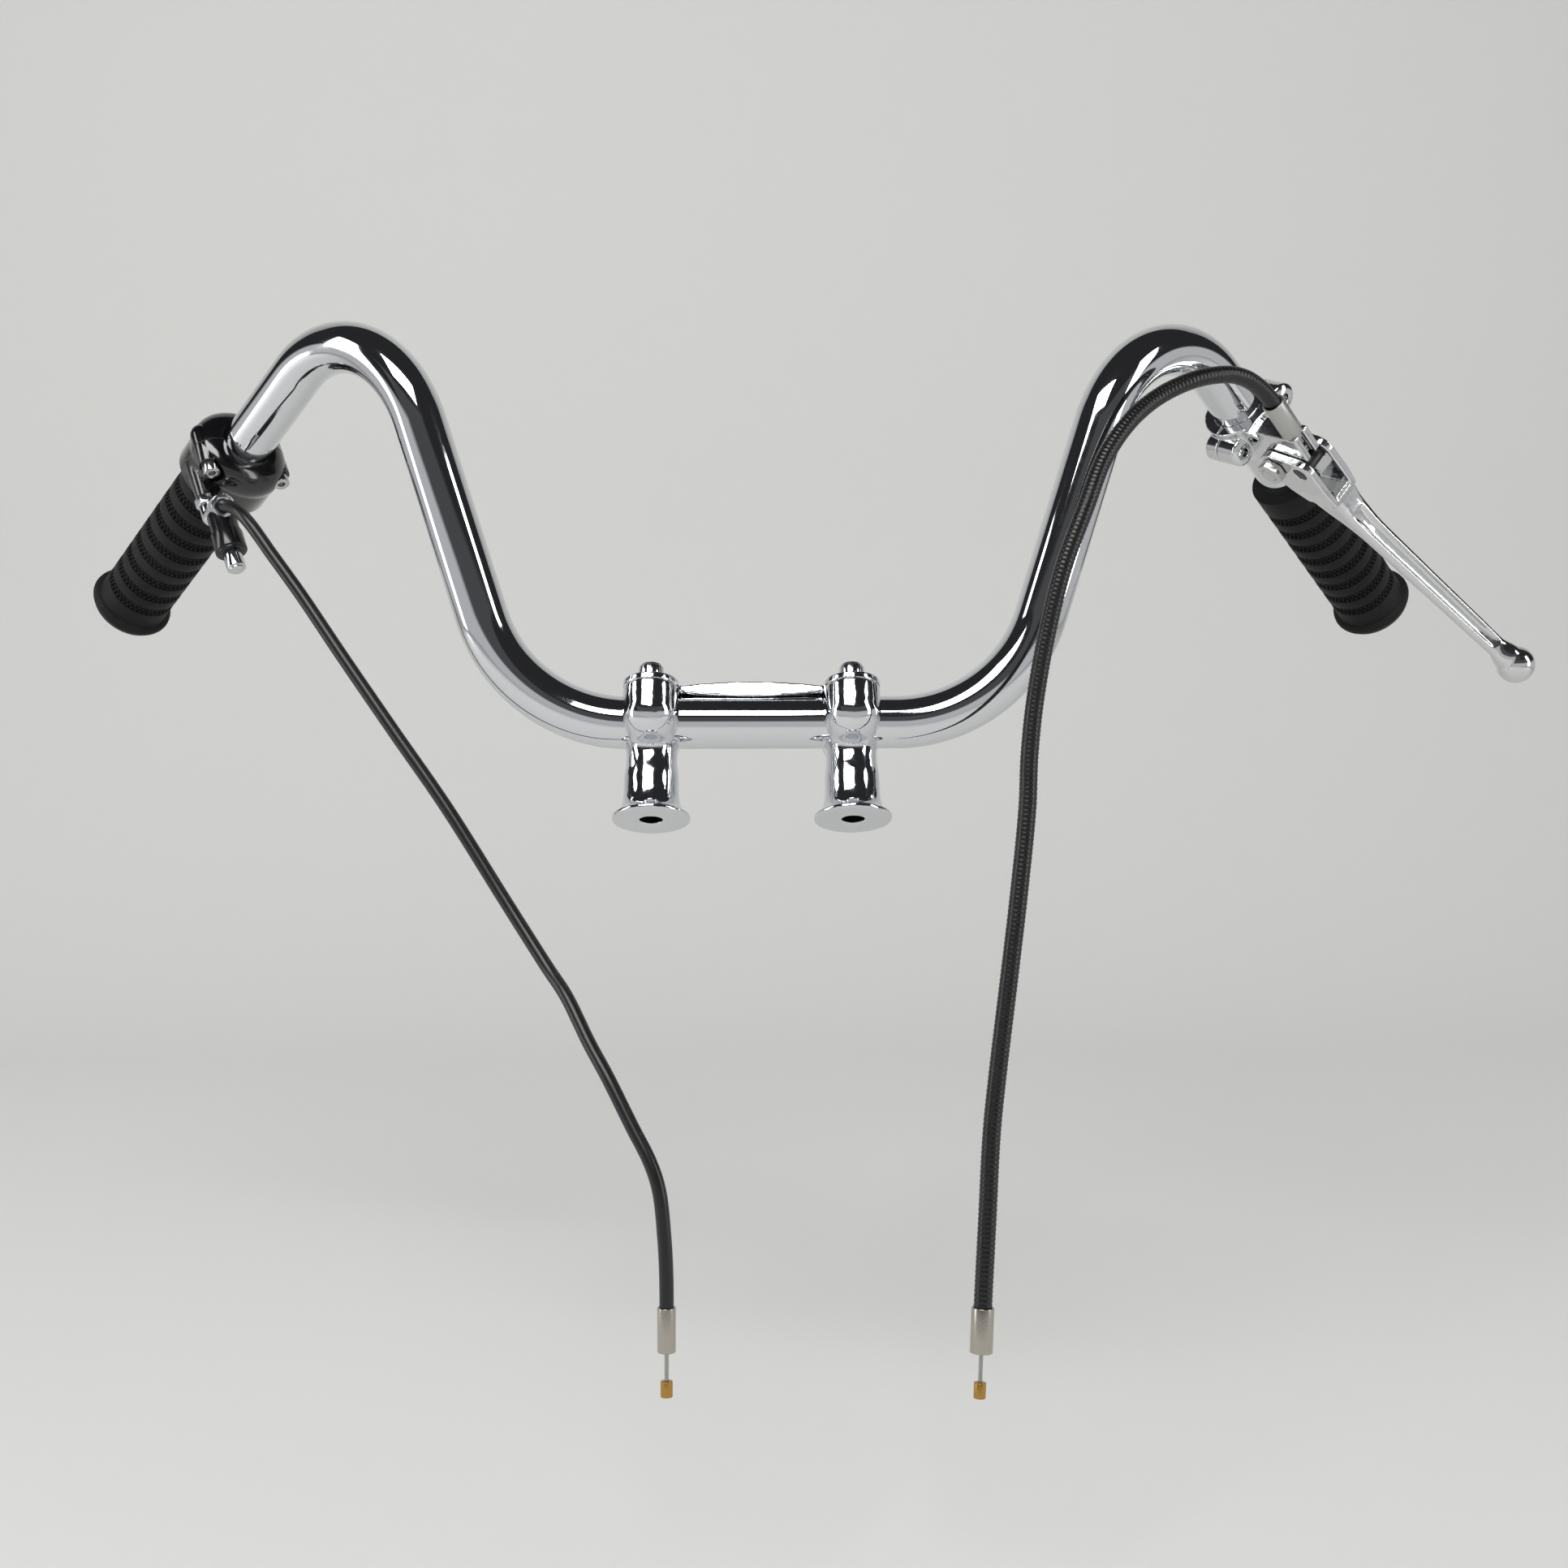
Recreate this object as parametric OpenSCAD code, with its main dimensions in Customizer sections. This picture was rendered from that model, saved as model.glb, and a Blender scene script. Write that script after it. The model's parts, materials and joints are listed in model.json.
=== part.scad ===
// High-rise motorcycle handlebar with risers, grips, twist throttle and clutch lever.
// Millimetres. +Z is up, +X is the clutch side, +Y points to the rider.
// The origin is midway between the two riser feet, on their seat.

/* [Bar] */
// Outer diameter of the bar tube
bar_d = 25.4; // [22:0.1:32]
// Wall of the bar tube
bar_wall = 2.4; // [1.6:0.1:3.2]
// Half of the distance between the two lower corners of the centre line
lower_half = 118.5; // [117:0.5:150]
// Length of a rise from lower corner to upper corner
rise_len = 229; // [180:1:420]
// Outward lean of a rise from upright
rise_spread = 17.5; // [8:0.5:26]
// Lean of the two rises towards the rider
rise_lean = 8.5; // [0:0.5:20]
// Centre-line radius of the lower bends
lower_bend_r = 74; // [60:1:75]
// Centre-line radius of the upper bends
upper_bend_r = 57; // [42:1:62]
// Angle of the upper bends
upper_turn = 106.8; // [98:0.2:114]
// Turn of the tube about itself between its lower and its upper bend
upper_roll = -139.7; // [-148:0.1:-132]
// Distance from the upper corner to the open end of the tube
grip_run = 280; // [272:1:330]
// Distance the bar is set sideways in its clamps
bar_shift = 5.5; // [0:0.5:6]

/* [Risers and top clamp] */
// Distance between the two riser centres
riser_span = 95.25; // [80:0.25:110]
// Lean of the risers towards the rider
riser_rake = 28; // [0:1:35]
// Height of the bar centre above the riser foot
riser_h = 50; // [46:1:90]
// Diameter of a riser post and of its rounded arms
riser_d = 26.5; // [25:0.5:32]
// Diameter of the flared foot
riser_foot_d = 37; // [32:0.5:44]
// Height of the flare above the seat
riser_flare_h = 13; // [8:0.5:16]
// Depth of the slim waist of the post
riser_waist = 0.9; // [0.2:0.1:2]
// Diameter of the threaded hole in the foot
foot_hole_d = 10.8; // [8:0.1:13]
// Depth of the threaded hole in the foot
foot_hole_h = 24; // [16:1:30]
// Distance between the front and the rear clamp bolt
bolt_span = 37; // [36:0.5:44]
// Diameter of a clamp bolt shank
bolt_d = 7.9; // [6:0.1:8.4]
// Length of a clamp bolt shank
bolt_len = 28; // [20:1:34]
// Diameter of a clamp bolt head
bolt_head_d = 11.9; // [10:0.1:13]
// Height of a clamp bolt head
bolt_head_h = 8; // [5:0.1:10]
// Thickness of the washer under a clamp bolt head
washer_h = 0.7; // [0.5:0.1:1.5]
// Height of the joint between riser and top clamp above the bar centre
split_up = 9.5; // [8:0.5:11]
// Thickness of the top clamp at its bolts
clamp_pad_h = 3.3; // [3:0.1:5]
// Thickness of the top clamp over the bar
clamp_crown = 4.1; // [3.5:0.1:6]
// Width of the web between the risers, front to rear
web_w = 22; // [16:1:26]

/* [Grips] */
// Length of a rubber grip
grip_len = 124; // [110:1:140]
// Diameter of the smooth collar and of the bands
grip_d = 38; // [36.5:0.5:40]
// Diameter of the flange at the outer end
grip_flange_d = 44.5; // [42:0.5:50]
// Distance from one band to the next
band_pitch = 12.2; // [11:0.1:12.6]
// Number of grooves between bands
band_count = 8; // [6:1:8]
// Depth of a groove
band_depth = 1.3; // [0.8:0.1:1.6]
// Thickness of the rubber over the end of the tube
grip_cap = 4; // [3:0.5:6]

/* [Throttle] */
// Distance of the throttle screws from the upper corner
throttle_at = 142; // [134:1:150]
// Turn of the throttle housing about the bar
throttle_roll = -8; // [-20:1:10]
// Outer diameter of the housing
housing_d = 52; // [50:0.5:56]
// Length of the housing along the bar
housing_w = 31; // [30:0.5:34]
// Wall of the housing round the drum
housing_wall = 3.2; // [2.5:0.1:4]
// Distance between the two housing screws
screw_span = 40; // [39:0.5:43]
// Diameter of a housing screw shank
screw_d = 5; // [4:0.1:5.5]
// Diameter of a housing screw head
screw_head_d = 8.5; // [7:0.1:9]
// Outer diameter of the twist sleeve
sleeve_d = 29.6; // [28.6:0.1:31]
// Diameter of the cable drum on the sleeve
drum_d = 38; // [34:0.5:40]
// Width of the cable drum
drum_w = 9; // [7:0.5:10]
// Diameter of the black sheath of the throttle cable
throttle_cable_d = 6.5; // [5:0.5:7]

/* [Clutch perch] */
// Distance of the perch clamp from the upper corner
perch_at = 113; // [108:1:118]
// Turn of the perch about the bar
perch_roll = 16; // [5:1:25]
// Length of the perch clamp along the bar
perch_w = 23; // [20:0.5:26]
// Outer diameter of the perch clamp ring
perch_ring_d = 37; // [35:0.5:40]
// Distance between the two perch clamp screws
perch_screw_span = 36.5; // [36:0.5:42]
// Diameter of a perch clamp screw shank
perch_screw_d = 5; // [4:0.1:6]
// Offset of the lever plane below the bar axis
lever_off = 8; // [4:0.5:10]
// Distance of the lever pivot in front of the bar axis
pivot_front = 29; // [28:0.5:31]
// Distance of the lever pivot outboard of the perch clamp centre
pivot_out = 8; // [6:0.5:10]
// Distance of the clutch cable in front of the bar axis
cable_front = 45; // [44:0.5:48]
// Thickness of the perch tongue
tongue_t = 11; // [9:0.5:13]
// Diameter of the lever pivot bolt
pivot_d = 8; // [6:0.5:9]

/* [Clutch lever] */
// Distance of the ball centre in front of the bar axis
ball_front = 102; // [90:1:110]
// Distance of the ball centre outboard of the pivot
ball_out = 163; // [140:1:180]
// Diameter of the ball at the lever tip
ball_d = 20; // [16:0.5:24]
// Thickness of a lever ear
ear_t = 4.2; // [3.5:0.1:5]
// Width of the blade
blade_w = 13; // [11:0.5:15]
// Thickness of the blade
blade_t = 8; // [6:0.5:9]
// Diameter of the cable anchor barrel
anchor_d = 7.9; // [6:0.1:9]
// Diameter of the black sheath of the clutch cable
clutch_cable_d = 8.5; // [7:0.5:9]
// Diameter of the inner wires
wire_d = 1.9; // [1.5:0.1:2.4]

/* [Hidden] */
$fn = 72;

// Clearances
seat_gap = 0.05;    // between parts that are clamped or pressed together
bar_gap = 0.12;     // all round the bar in its risers and top clamp
run_gap = 0.06;     // all round a shaft that turns
move_gap = 0.35;    // beside faces that slide past each other
over = 1;           // overrun of a cut

// Centre line of the bar
bar_r = bar_d / 2;
bend_swell = 0.1;   // the tube swells by this in its bends
bend_lap = 1.5;     // how far a straight reaches into a bend
bend_low = 90 - rise_spread;
tangent_low = lower_bend_r * tan(bend_low / 2);
rise_dir = [sin(rise_spread), cos(rise_spread) * sin(rise_lean), cos(rise_spread) * cos(rise_lean)];
side_dir = [cos(rise_spread), -sin(rise_spread) * sin(rise_lean), -sin(rise_spread) * cos(rise_lean)];
back_dir = [0, cos(rise_lean), -sin(rise_lean)];
bend_dir = -cos(upper_roll) * side_dir - sin(upper_roll) * back_dir;
grip_dir = cos(upper_turn) * rise_dir + sin(upper_turn) * bend_dir;
grip_droop = asin(-grip_dir[2]);
grip_sweep = atan2(grip_dir[1], grip_dir[0]);
tangent_up = upper_bend_r * tan(upper_turn / 2);
bar_centre = [bar_shift, riser_h * sin(riser_rake), riser_h * cos(riser_rake)];
upper_corner = [lower_half, 0, 0] + rise_len * rise_dir;

// Risers and clamp
arm_down = 3;       // arm centres below the bar centre
post_flat = 2;      // straight rim of the foot
clamp_top = split_up + clamp_pad_h;
crown_r = bar_r + clamp_crown;
web_span = riser_span - riser_d;
web_end_low = split_up + clamp_crown;
web_end_h = 0.9;
hex_share = 0.5;    // width of a hex socket in a screw head
socket_share = 0.55;  // where the floor of a socket lies in the head
head_edge_share = 0.85;
head_top_share = 0.86;
bolt_hole_d = bolt_d + 2 * seat_gap;

// Grips
collar_share = 0.11;
groove_share = 0.46;
flange_h = 8;
flange_dome_share = 1.4;
rubber_end = grip_run + grip_cap + move_gap;
grip_start = rubber_end - grip_len;

// Throttle housing
drum_step = 9;
screw_step = 9;
rim_step = 2;
drum_at = throttle_at + drum_step;
housing_in = throttle_at - screw_step;
housing_out = housing_in + housing_w;
donut_r = 10.5;
screw_boss_d = 10;
screw_boss_h = 11.5;
screw_head_h = 5.5;
screw_len = 19;
cable_exit_y = drum_d / 2;
cable_boss_d = 11;
cable_boss_tip_d = 9;
cable_boss_h = 23;
nut_af = 10;
nut_h = 5;
elbow_step = 4.5;
elbow_at = throttle_at + elbow_step;
elbow_d = 9;
elbow_x = 35;
elbow_eye_d = 12.5;
elbow_eye_h = 8;
elbow_turn = 77;
elbow_pitch = 32;
drop_d = 16;
drop_neck_d = 14.5;
drop_h = 24;
drop_step = 1;
drop_start = elbow_x + elbow_d / 2 + drop_step;
tip_d = 9.5;
tip_h = 10.5;
eye_clear = 7;      // clear space for the cable past its eye

// Clutch side, in the frame of the perch: x down, y towards the rider, z outboard
pivot_z = perch_at + pivot_out;
anchor_step = 1.5;
stop_step = 5;
stop_len = 16;
anchor_z = pivot_z + anchor_step;
stop_out = pivot_z - stop_step;
stop_in = stop_out - stop_len;
lug_d = 15;
cap_lug_h = 8;
front_lug_h = 11;
lug_dome_share = 0.35;
screw_flange_h = 2;
screw_socket_d = 4.5;
tongue_foot_r = 4;
tongue_bite = 2;
ear_r = 9;
tongue_r = 8.5;
bush_wall = 1.5;
bush_d = pivot_d + 2 * bush_wall;
wire_slot = 3.4;
clevis_gap = tongue_t + 2 * move_gap;
clevis_w = clevis_gap + 2 * ear_t;
window_out = 25;
root_out = 46;
root_step = 7;
root_front = cable_front + root_step;
taper_out = 18;
ferrule_d = 11;
ferrule_len = 23;
ferrule_seat = 3;
ferrule_step = 2;
ferrule_bore_share = 0.4;
anchor_inset = 1;
anchor_len = clevis_w - anchor_inset;
pivot_head_share = 1.7;
pivot_head_h_share = 0.45;
nut_share = 1.6;
nut_h_share = 0.6;
wire_back = 30;
groove_at_share = 0.08;
groove_len_share = 0.84;
flare_share = 0.17;
groove_w_share = 0.46;
groove_d_share = 0.4;
ball_vec = [ball_out, ball_front - pivot_front];

// Cable routes. Points chosen by hand, in the part's own frame.
throttle_route = [
  [-271, 101.5, 149.5], [-268.5, 98, 149.5], [-262.5, 90, 148.5], [-255.5, 83, 144.5], [-249, 78.5, 138],
  [-239.5, 74, 125.5], [-222.5, 66, 103.5], [-201, 55, 74], [-174.5, 41.5, 38.5], [-147, 27.5, 2],
  [-118.5, 11.5, -39.5], [-98, -4, -67.5], [-87, -16, -80.5], [-76, -29.5, -98.5], [-66.5, -40.5, -112.5],
  [-55.5, -51, -131.5], [-47, -58.5, -146], [-42.5, -63, -159], [-40.5, -66, -177], [-39.5, -69, -196.5],
  [-39.5, -72.5, -225]
];
clutch_route = [
  [264, 63.5, 194], [258.5, 59, 199], [250.5, 52.5, 205], [240, 44.5, 209.5], [228, 38, 210.5],
  [211, 30.5, 207], [193, 24, 198.5], [177.5, 15.5, 186], [164.5, 7, 168.5], [154.5, -2.5, 146],
  [143.5, -8.5, 118], [136, -12, 88.5], [130.5, -15.5, 58.5], [127.5, -19.5, 32.5], [126, -24.5, 7],
  [121.5, -33, -29.5], [116.5, -41, -65.5], [110.5, -50, -108], [107, -56.5, -136.5],
  [104.5, -64.5, -171.5], [102, -72.5, -206], [101, -76, -225.5]
];
cable_sides = 10;
ring_count = 38;
end_ferrule_len = 16;
end_ferrule_wall = 0.9;
end_cap_h = 4;
wire_tail = 20;
nipple_d = 5.5;
nipple_len = 7;

// Frames

module at_bar() { translate(bar_centre) children(); }

module at_grip(side) {
  at_bar() scale([side, 1, 1]) translate(upper_corner)
    rotate([0, 90 + grip_droop, grip_sweep]) children();
}

module at_throttle() { at_grip(-1) rotate([0, 0, throttle_roll]) children(); }

module at_perch() { at_grip(1) rotate([0, 0, perch_roll]) children(); }

module at_riser_axis() { rotate([-riser_rake, 0, 0]) children(); }

// Bar tube

module bend(r, turn, d) {
  translate([-r, 0, 0]) rotate([90, 0, 0]) rotate_extrude(angle = turn) translate([r, 0])
    circle(d = d + bend_swell);
}

module past_bend(r, turn) {
  translate([-r, 0, 0]) rotate([0, -turn, 0]) translate([r, 0, 0]) children();
}

module straight(d, h) { translate([0, 0, -bend_lap]) cylinder(d = d, h = h + 2 * bend_lap); }

module half_bar(d, extra) {
  clamp_half = lower_half - tangent_low;
  rise = rise_len - tangent_low - tangent_up;
  run = grip_run - tangent_up;
  rotate([-rise_lean, 0, 0]) rotate([0, 90, 0]) translate([0, 0, clamp_half]) {
    bend(lower_bend_r, bend_low, d);
    past_bend(lower_bend_r, bend_low) {
      straight(d, rise);
      translate([0, 0, rise]) rotate([0, 0, upper_roll]) {
        bend(upper_bend_r, upper_turn, d);
        past_bend(upper_bend_r, upper_turn) straight(d, run + extra - bend_lap);
      }
    }
  }
}

module whole_bar(d, extra) {
  rotate([0, 90, 0]) cylinder(d = d, h = 2 * (lower_half - tangent_low + bend_lap), center = true);
  half_bar(d, extra);
  mirror([1, 0, 0]) half_bar(d, extra);
}

module handlebar_tube() {
  color("silver") at_bar() difference() {
    whole_bar(bar_d, 0);
    whole_bar(bar_d - 2 * bar_wall, over);
  }
}

// Risers

module obround(w, span, h) {
  linear_extrude(h) {
    for (s = [-1, 1]) translate([0, s * span / 2]) circle(d = w);
    square([w, span], center = true);
  }
}

module post_section() {
  r = riser_d / 2;
  waist_r = riser_h;
  difference() {
    square([r, riser_h - arm_down]);
    translate([r + waist_r - riser_waist, riser_h / 2 + riser_flare_h / 2]) circle(r = waist_r);
  }
  difference() {
    square([riser_foot_d / 2, riser_flare_h]);
    translate([riser_foot_d / 2, riser_flare_h])
      scale([riser_foot_d / 2 - r, riser_flare_h - post_flat]) circle(r = 1);
  }
}

module arm_pair() {
  translate([0, 0, riser_h - arm_down]) {
    for (s = [-1, 1]) translate([0, s * bolt_span / 2, 0]) sphere(d = riser_d);
    rotate([90, 0, 0]) cylinder(d = riser_d, h = bolt_span, center = true);
    obround(riser_d, bolt_span, arm_down + split_up);
  }
}

module bolt_places() {
  for (s = [-1, 1]) translate([0, s * bolt_span / 2, 0]) children();
}

module riser() {
  difference() {
    union() {
      rotate_extrude() post_section();
      arm_pair();
    }
    translate([0, 0, riser_h]) {
      rotate([0, 90, 0]) cylinder(d = bar_d + 2 * bar_gap, h = riser_d + 2 * over, center = true);
      translate([-riser_d / 2 - over, -bar_r - bar_gap, 0])
        cube([riser_d + 2 * over, bar_d + 2 * bar_gap, split_up + over]);
      translate([-riser_d / 2 - over, -bolt_span, split_up - seat_gap])
        cube([riser_d + 2 * over, 2 * bolt_span, riser_d]);
      bolt_places() translate([0, 0, clamp_top - bolt_len - over])
        cylinder(d = bolt_hole_d, h = bolt_len + over);
    }
    translate([0, 0, -over]) cylinder(d = foot_hole_d, h = foot_hole_h + over);
  }
}

module riser_left() { color("gainsboro") at_riser_axis() translate([-riser_span / 2, 0, 0]) riser(); }

module riser_right() { color("gainsboro") at_riser_axis() translate([riser_span / 2, 0, 0]) riser(); }

// Top clamp: two bolt pads, a crown over the bar and a lens-shaped web between them

module lens(span, low, high, end_low, end_h) {
  half = span / 2;
  sag_top = high - end_low - end_h;
  sag_low = end_low - low;
  r_top = (half * half + sag_top * sag_top) / (2 * sag_top);
  r_low = (half * half + sag_low * sag_low) / (2 * sag_low);
  intersection() {
    translate([-half, low]) square([span, high - low]);
    translate([0, high - r_top]) circle(r = r_top, $fn = 180);
    translate([0, low + r_low]) circle(r = r_low, $fn = 180);
  }
}

module clamp_end() {
  translate([0, 0, split_up]) obround(riser_d, bolt_span, clamp_pad_h);
  intersection() {
    rotate([0, 90, 0]) cylinder(r = crown_r, h = riser_d, center = true);
    translate([-riser_d / 2, -crown_r, split_up]) cube([riser_d, 2 * crown_r, crown_r]);
  }
}

module top_clamp() {
  color("gainsboro") at_riser_axis() translate([0, 0, riser_h]) difference() {
    union() {
      for (s = [-1, 1]) translate([s * riser_span / 2, 0, 0]) clamp_end();
      rotate([90, 0, 0]) linear_extrude(web_w, center = true)
        lens(web_span + riser_d / 2, split_up, crown_r, web_end_low - web_end_h, web_end_h);
    }
    rotate([0, 90, 0]) cylinder(r = bar_r + bar_gap, h = riser_span + riser_d + over, center = true);
    for (s = [-1, 1]) translate([s * riser_span / 2, 0, split_up - over])
      bolt_places() cylinder(d = bolt_hole_d, h = clamp_pad_h + 2 * over);
  }
}

module clamp_bolt() {
  cylinder(d = bolt_d, h = bolt_len);
  translate([0, 0, bolt_len]) difference() {
    rotate_extrude() {
      square([bolt_head_d / 2, bolt_head_h * head_edge_share]);
      square([bolt_head_d / 2 * head_top_share, bolt_head_h]);
    }
    translate([0, 0, bolt_head_h * socket_share])
      cylinder(d = bolt_head_d * hex_share, h = bolt_head_h, $fn = 6);
  }
}

module all_bolt_places() {
  at_riser_axis() for (s = [-1, 1])
    translate([s * riser_span / 2, 0, riser_h + clamp_top]) bolt_places() children();
}

module clamp_bolts() {
  color("whitesmoke") all_bolt_places() translate([0, 0, washer_h - bolt_len]) clamp_bolt();
}

module clamp_washers() {
  color("lightgray") all_bolt_places() difference() {
    cylinder(d = bolt_head_d + washer_h, h = washer_h);
    translate([0, 0, -over]) cylinder(d = bolt_hole_d, h = washer_h + 2 * over);
  }
}

// Rubber grips

module grip_outer() {
  collar = grip_len * collar_share;
  groove = band_pitch * groove_share;
  difference() {
    union() {
      cylinder(d = grip_d, h = grip_len - flange_h / 2);
      translate([0, 0, grip_len - flange_h]) rotate_extrude() intersection() {
        translate([0, flange_h / 2])
          scale([1, flange_h / grip_flange_d * flange_dome_share]) circle(d = grip_flange_d);
        square([grip_flange_d / 2, flange_h]);
      }
    }
    for (i = [0 : band_count - 1]) translate([0, 0, collar + i * band_pitch]) difference() {
      cylinder(d = grip_d + over, h = groove);
      translate([0, 0, -over]) cylinder(d = grip_d - 2 * band_depth, h = groove + 2 * over);
    }
  }
}

module grip(bore_d) {
  difference() {
    grip_outer();
    translate([0, 0, -over]) cylinder(d = bore_d, h = grip_len - grip_cap + over);
  }
}

module clutch_grip() {
  color("dimgray") at_grip(1) translate([0, 0, grip_start]) grip(bar_d + 2 * seat_gap);
}

module throttle_grip() {
  color("dimgray") at_grip(-1) translate([0, 0, housing_out + move_gap]) difference() {
    translate([0, 0, grip_start - housing_out - move_gap]) grip(sleeve_d + 2 * seat_gap);
    translate([0, 0, grip_start - housing_out - move_gap - over])
      cylinder(d = grip_flange_d, h = housing_out - grip_start + move_gap + over);
  }
}

module throttle_sleeve() {
  sleeve_len = rubber_end - grip_cap - drum_at - seat_gap;
  color("black") at_throttle() translate([0, 0, drum_at]) difference() {
    union() {
      cylinder(d = sleeve_d, h = sleeve_len);
      difference() {
        cylinder(d = drum_d, h = drum_w);
        translate([0, 0, drum_w / 2]) rotate_extrude() translate([drum_d / 2, 0])
          circle(d = wire_d * 2);
      }
    }
    translate([0, 0, -over]) cylinder(d = bar_d + 2 * run_gap, h = sleeve_len + 2 * over);
  }
}

// Throttle housing: a rounded ring, split level with the bar

module housing_section() {
  r = housing_d / 2;
  translate([r - donut_r, donut_r]) circle(r = donut_r);
  translate([bar_r + seat_gap, donut_r]) square([r - bar_r - seat_gap, donut_r / 2]);
  translate([bar_r + seat_gap, donut_r / 2]) square([donut_r / 2, donut_r]);
  translate([bar_r + seat_gap, donut_r])
    square([r - bar_r - housing_wall / 2, housing_w - donut_r - rim_step]);
  translate([bar_r + seat_gap, donut_r]) square([r - bar_r - housing_wall, housing_w - donut_r]);
}

module housing_ring() {
  translate([0, 0, housing_in]) difference() {
    rotate_extrude() difference() {
      housing_section();
      square([bar_r + seat_gap, housing_w + over]);
    }
    translate([0, 0, drum_at - housing_in - move_gap])
      cylinder(d = drum_d + 2 * move_gap, h = drum_w + 2 * move_gap);
    translate([0, 0, drum_at - housing_in]) cylinder(d = sleeve_d + 2 * move_gap, h = housing_w);
  }
}

module screw_places() {
  for (s = [-1, 1]) translate([0, s * screw_span / 2, throttle_at]) rotate([0, 90, 0]) children();
}

module housing_solid() {
  difference() {
    union() {
      housing_ring();
      screw_places() translate([0, 0, -screw_boss_h]) {
        cylinder(d = screw_boss_d, h = 2 * screw_boss_h);
        sphere(d = screw_boss_d);
      }
      translate([0, -cable_exit_y, drum_at + drum_w / 2]) rotate([0, 90, 0])
        cylinder(d1 = cable_boss_d, d2 = cable_boss_tip_d, h = cable_boss_h);
    }
    translate([0, 0, housing_in - over]) cylinder(r = bar_r + seat_gap, h = housing_w + 2 * over);
    translate([0, 0, drum_at - move_gap])
      cylinder(d = drum_d + 2 * move_gap, h = drum_w + 2 * move_gap);
    screw_places() translate([0, 0, screw_boss_h - screw_len])
      cylinder(d = screw_d + 2 * seat_gap, h = screw_len + over);
    screw_places() translate([0, 0, screw_boss_h]) cylinder(d = screw_head_d + 2 * move_gap, h = housing_d);
    translate([0, -cable_exit_y, drum_at + drum_w / 2]) rotate([0, 90, 0])
      cylinder(d = wire_d * 2, h = cable_boss_h + over);
  }
}

module half_space(down) {
  size = 4 * housing_d;
  translate([down ? 0 : -size, -size / 2, 0]) cube([size, size, size]);
}

module throttle_housing_upper() {
  color([0.07, 0.07, 0.08]) at_throttle() intersection() {
    housing_solid();
    half_space(false);
  }
}

module throttle_housing_lower() {
  color([0.07, 0.07, 0.08]) at_throttle() intersection() {
    housing_solid();
    half_space(true);
  }
}

module throttle_screws() {
  color("silver") at_throttle() screw_places() translate([0, 0, screw_boss_h - screw_len]) {
    cylinder(d = screw_d, h = screw_len);
    translate([0, 0, screw_len]) difference() {
      cylinder(d = screw_head_d, h = screw_head_h);
      translate([0, 0, screw_head_h * (1 - socket_share)])
        cylinder(d = screw_head_d * hex_share, h = screw_head_h, $fn = 6);
    }
  }
}

// Cable elbow below the housing: nut, bent tube with an eye, black sleeve and bright tip

module at_elbow() { at_throttle() translate([0, -cable_exit_y, drum_at + drum_w / 2]) children(); }

module throttle_cable_nut() {
  color("silver") at_elbow() translate([cable_boss_h, 0, 0]) rotate([0, 90, 0]) difference() {
    cylinder(d = nut_af / cos(30), h = nut_h, $fn = 6);
    translate([0, 0, -over]) cylinder(d = wire_d * 2, h = nut_h + 2 * over);
  }
}

module throttle_elbow() {
  start = cable_boss_h + nut_h;
  step = drum_at + drum_w / 2 - elbow_at;
  color("silver") at_elbow() difference() {
    union() {
      translate([start, 0, 0]) rotate([0, 90, 0]) cylinder(d = elbow_d, h = elbow_x - start);
      translate([elbow_x, 0, 0]) sphere(d = elbow_d);
      translate([elbow_x, 0, -step]) cylinder(d = elbow_d, h = step);
      translate([elbow_x, 0, -step]) sphere(d = elbow_d);
      translate([elbow_x, 0, -step]) rotate([0, 90, 0]) cylinder(d = elbow_d, h = elbow_d / 2 + drop_step);
      at_eye() cylinder(d = elbow_eye_d, h = elbow_eye_h);
    }
    at_eye() translate([0, 0, elbow_eye_h / 2])
      cylinder(d = throttle_cable_d + 2 * seat_gap, h = elbow_eye_h);
  }
}

module at_eye() {
  translate([elbow_x, 0, elbow_at - drum_at - drum_w / 2]) rotate([elbow_turn + 90, 0, 0])
    rotate([0, elbow_pitch, 0]) children();
}

module at_drop() { at_throttle() translate([0, -cable_exit_y, elbow_at]) rotate([0, 90, 0]) children(); }

module elbow_sleeve() {
  color("black") difference() {
    at_drop() translate([0, 0, drop_start]) rotate_extrude() {
      square([drop_neck_d / 2, drop_h / 2]);
      translate([0, drop_h / 2]) square([drop_d / 2, drop_h / 2 - drop_step]);
      translate([0, drop_h / 2]) square([drop_d / 2 - drop_step, drop_h / 2]);
    }
    at_elbow() at_eye() cylinder(d = elbow_eye_d + 2 * move_gap, h = elbow_eye_h + eye_clear);
  }
}

module elbow_tip() {
  color("silver") at_drop() translate([0, 0, drop_start + drop_h]) rotate_extrude() {
    square([tip_d / 2, tip_h - drop_step]);
    square([tip_d / 2 - drop_step, tip_h]);
  }
}

// Clutch perch

module at_lever_plane() { at_perch() translate([lever_off, 0, 0]) children(); }

module perch_screw_places() {
  for (s = [-1, 1]) translate([s * perch_screw_span / 2, 0, perch_at]) rotate([90, 0, 0]) children();
}

module perch_shell() {
  translate([0, 0, perch_at - perch_w / 2]) cylinder(d = perch_ring_d, h = perch_w);
  translate([-perch_screw_span / 2, -front_lug_h, perch_at - lug_d / 2])
    cube([perch_screw_span, front_lug_h + cap_lug_h, lug_d]);
  perch_screw_places() {
    translate([0, 0, -cap_lug_h]) cylinder(d = lug_d, h = front_lug_h + cap_lug_h);
    translate([0, 0, front_lug_h]) scale([1, 1, lug_dome_share]) sphere(d = lug_d);
  }
}

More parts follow.
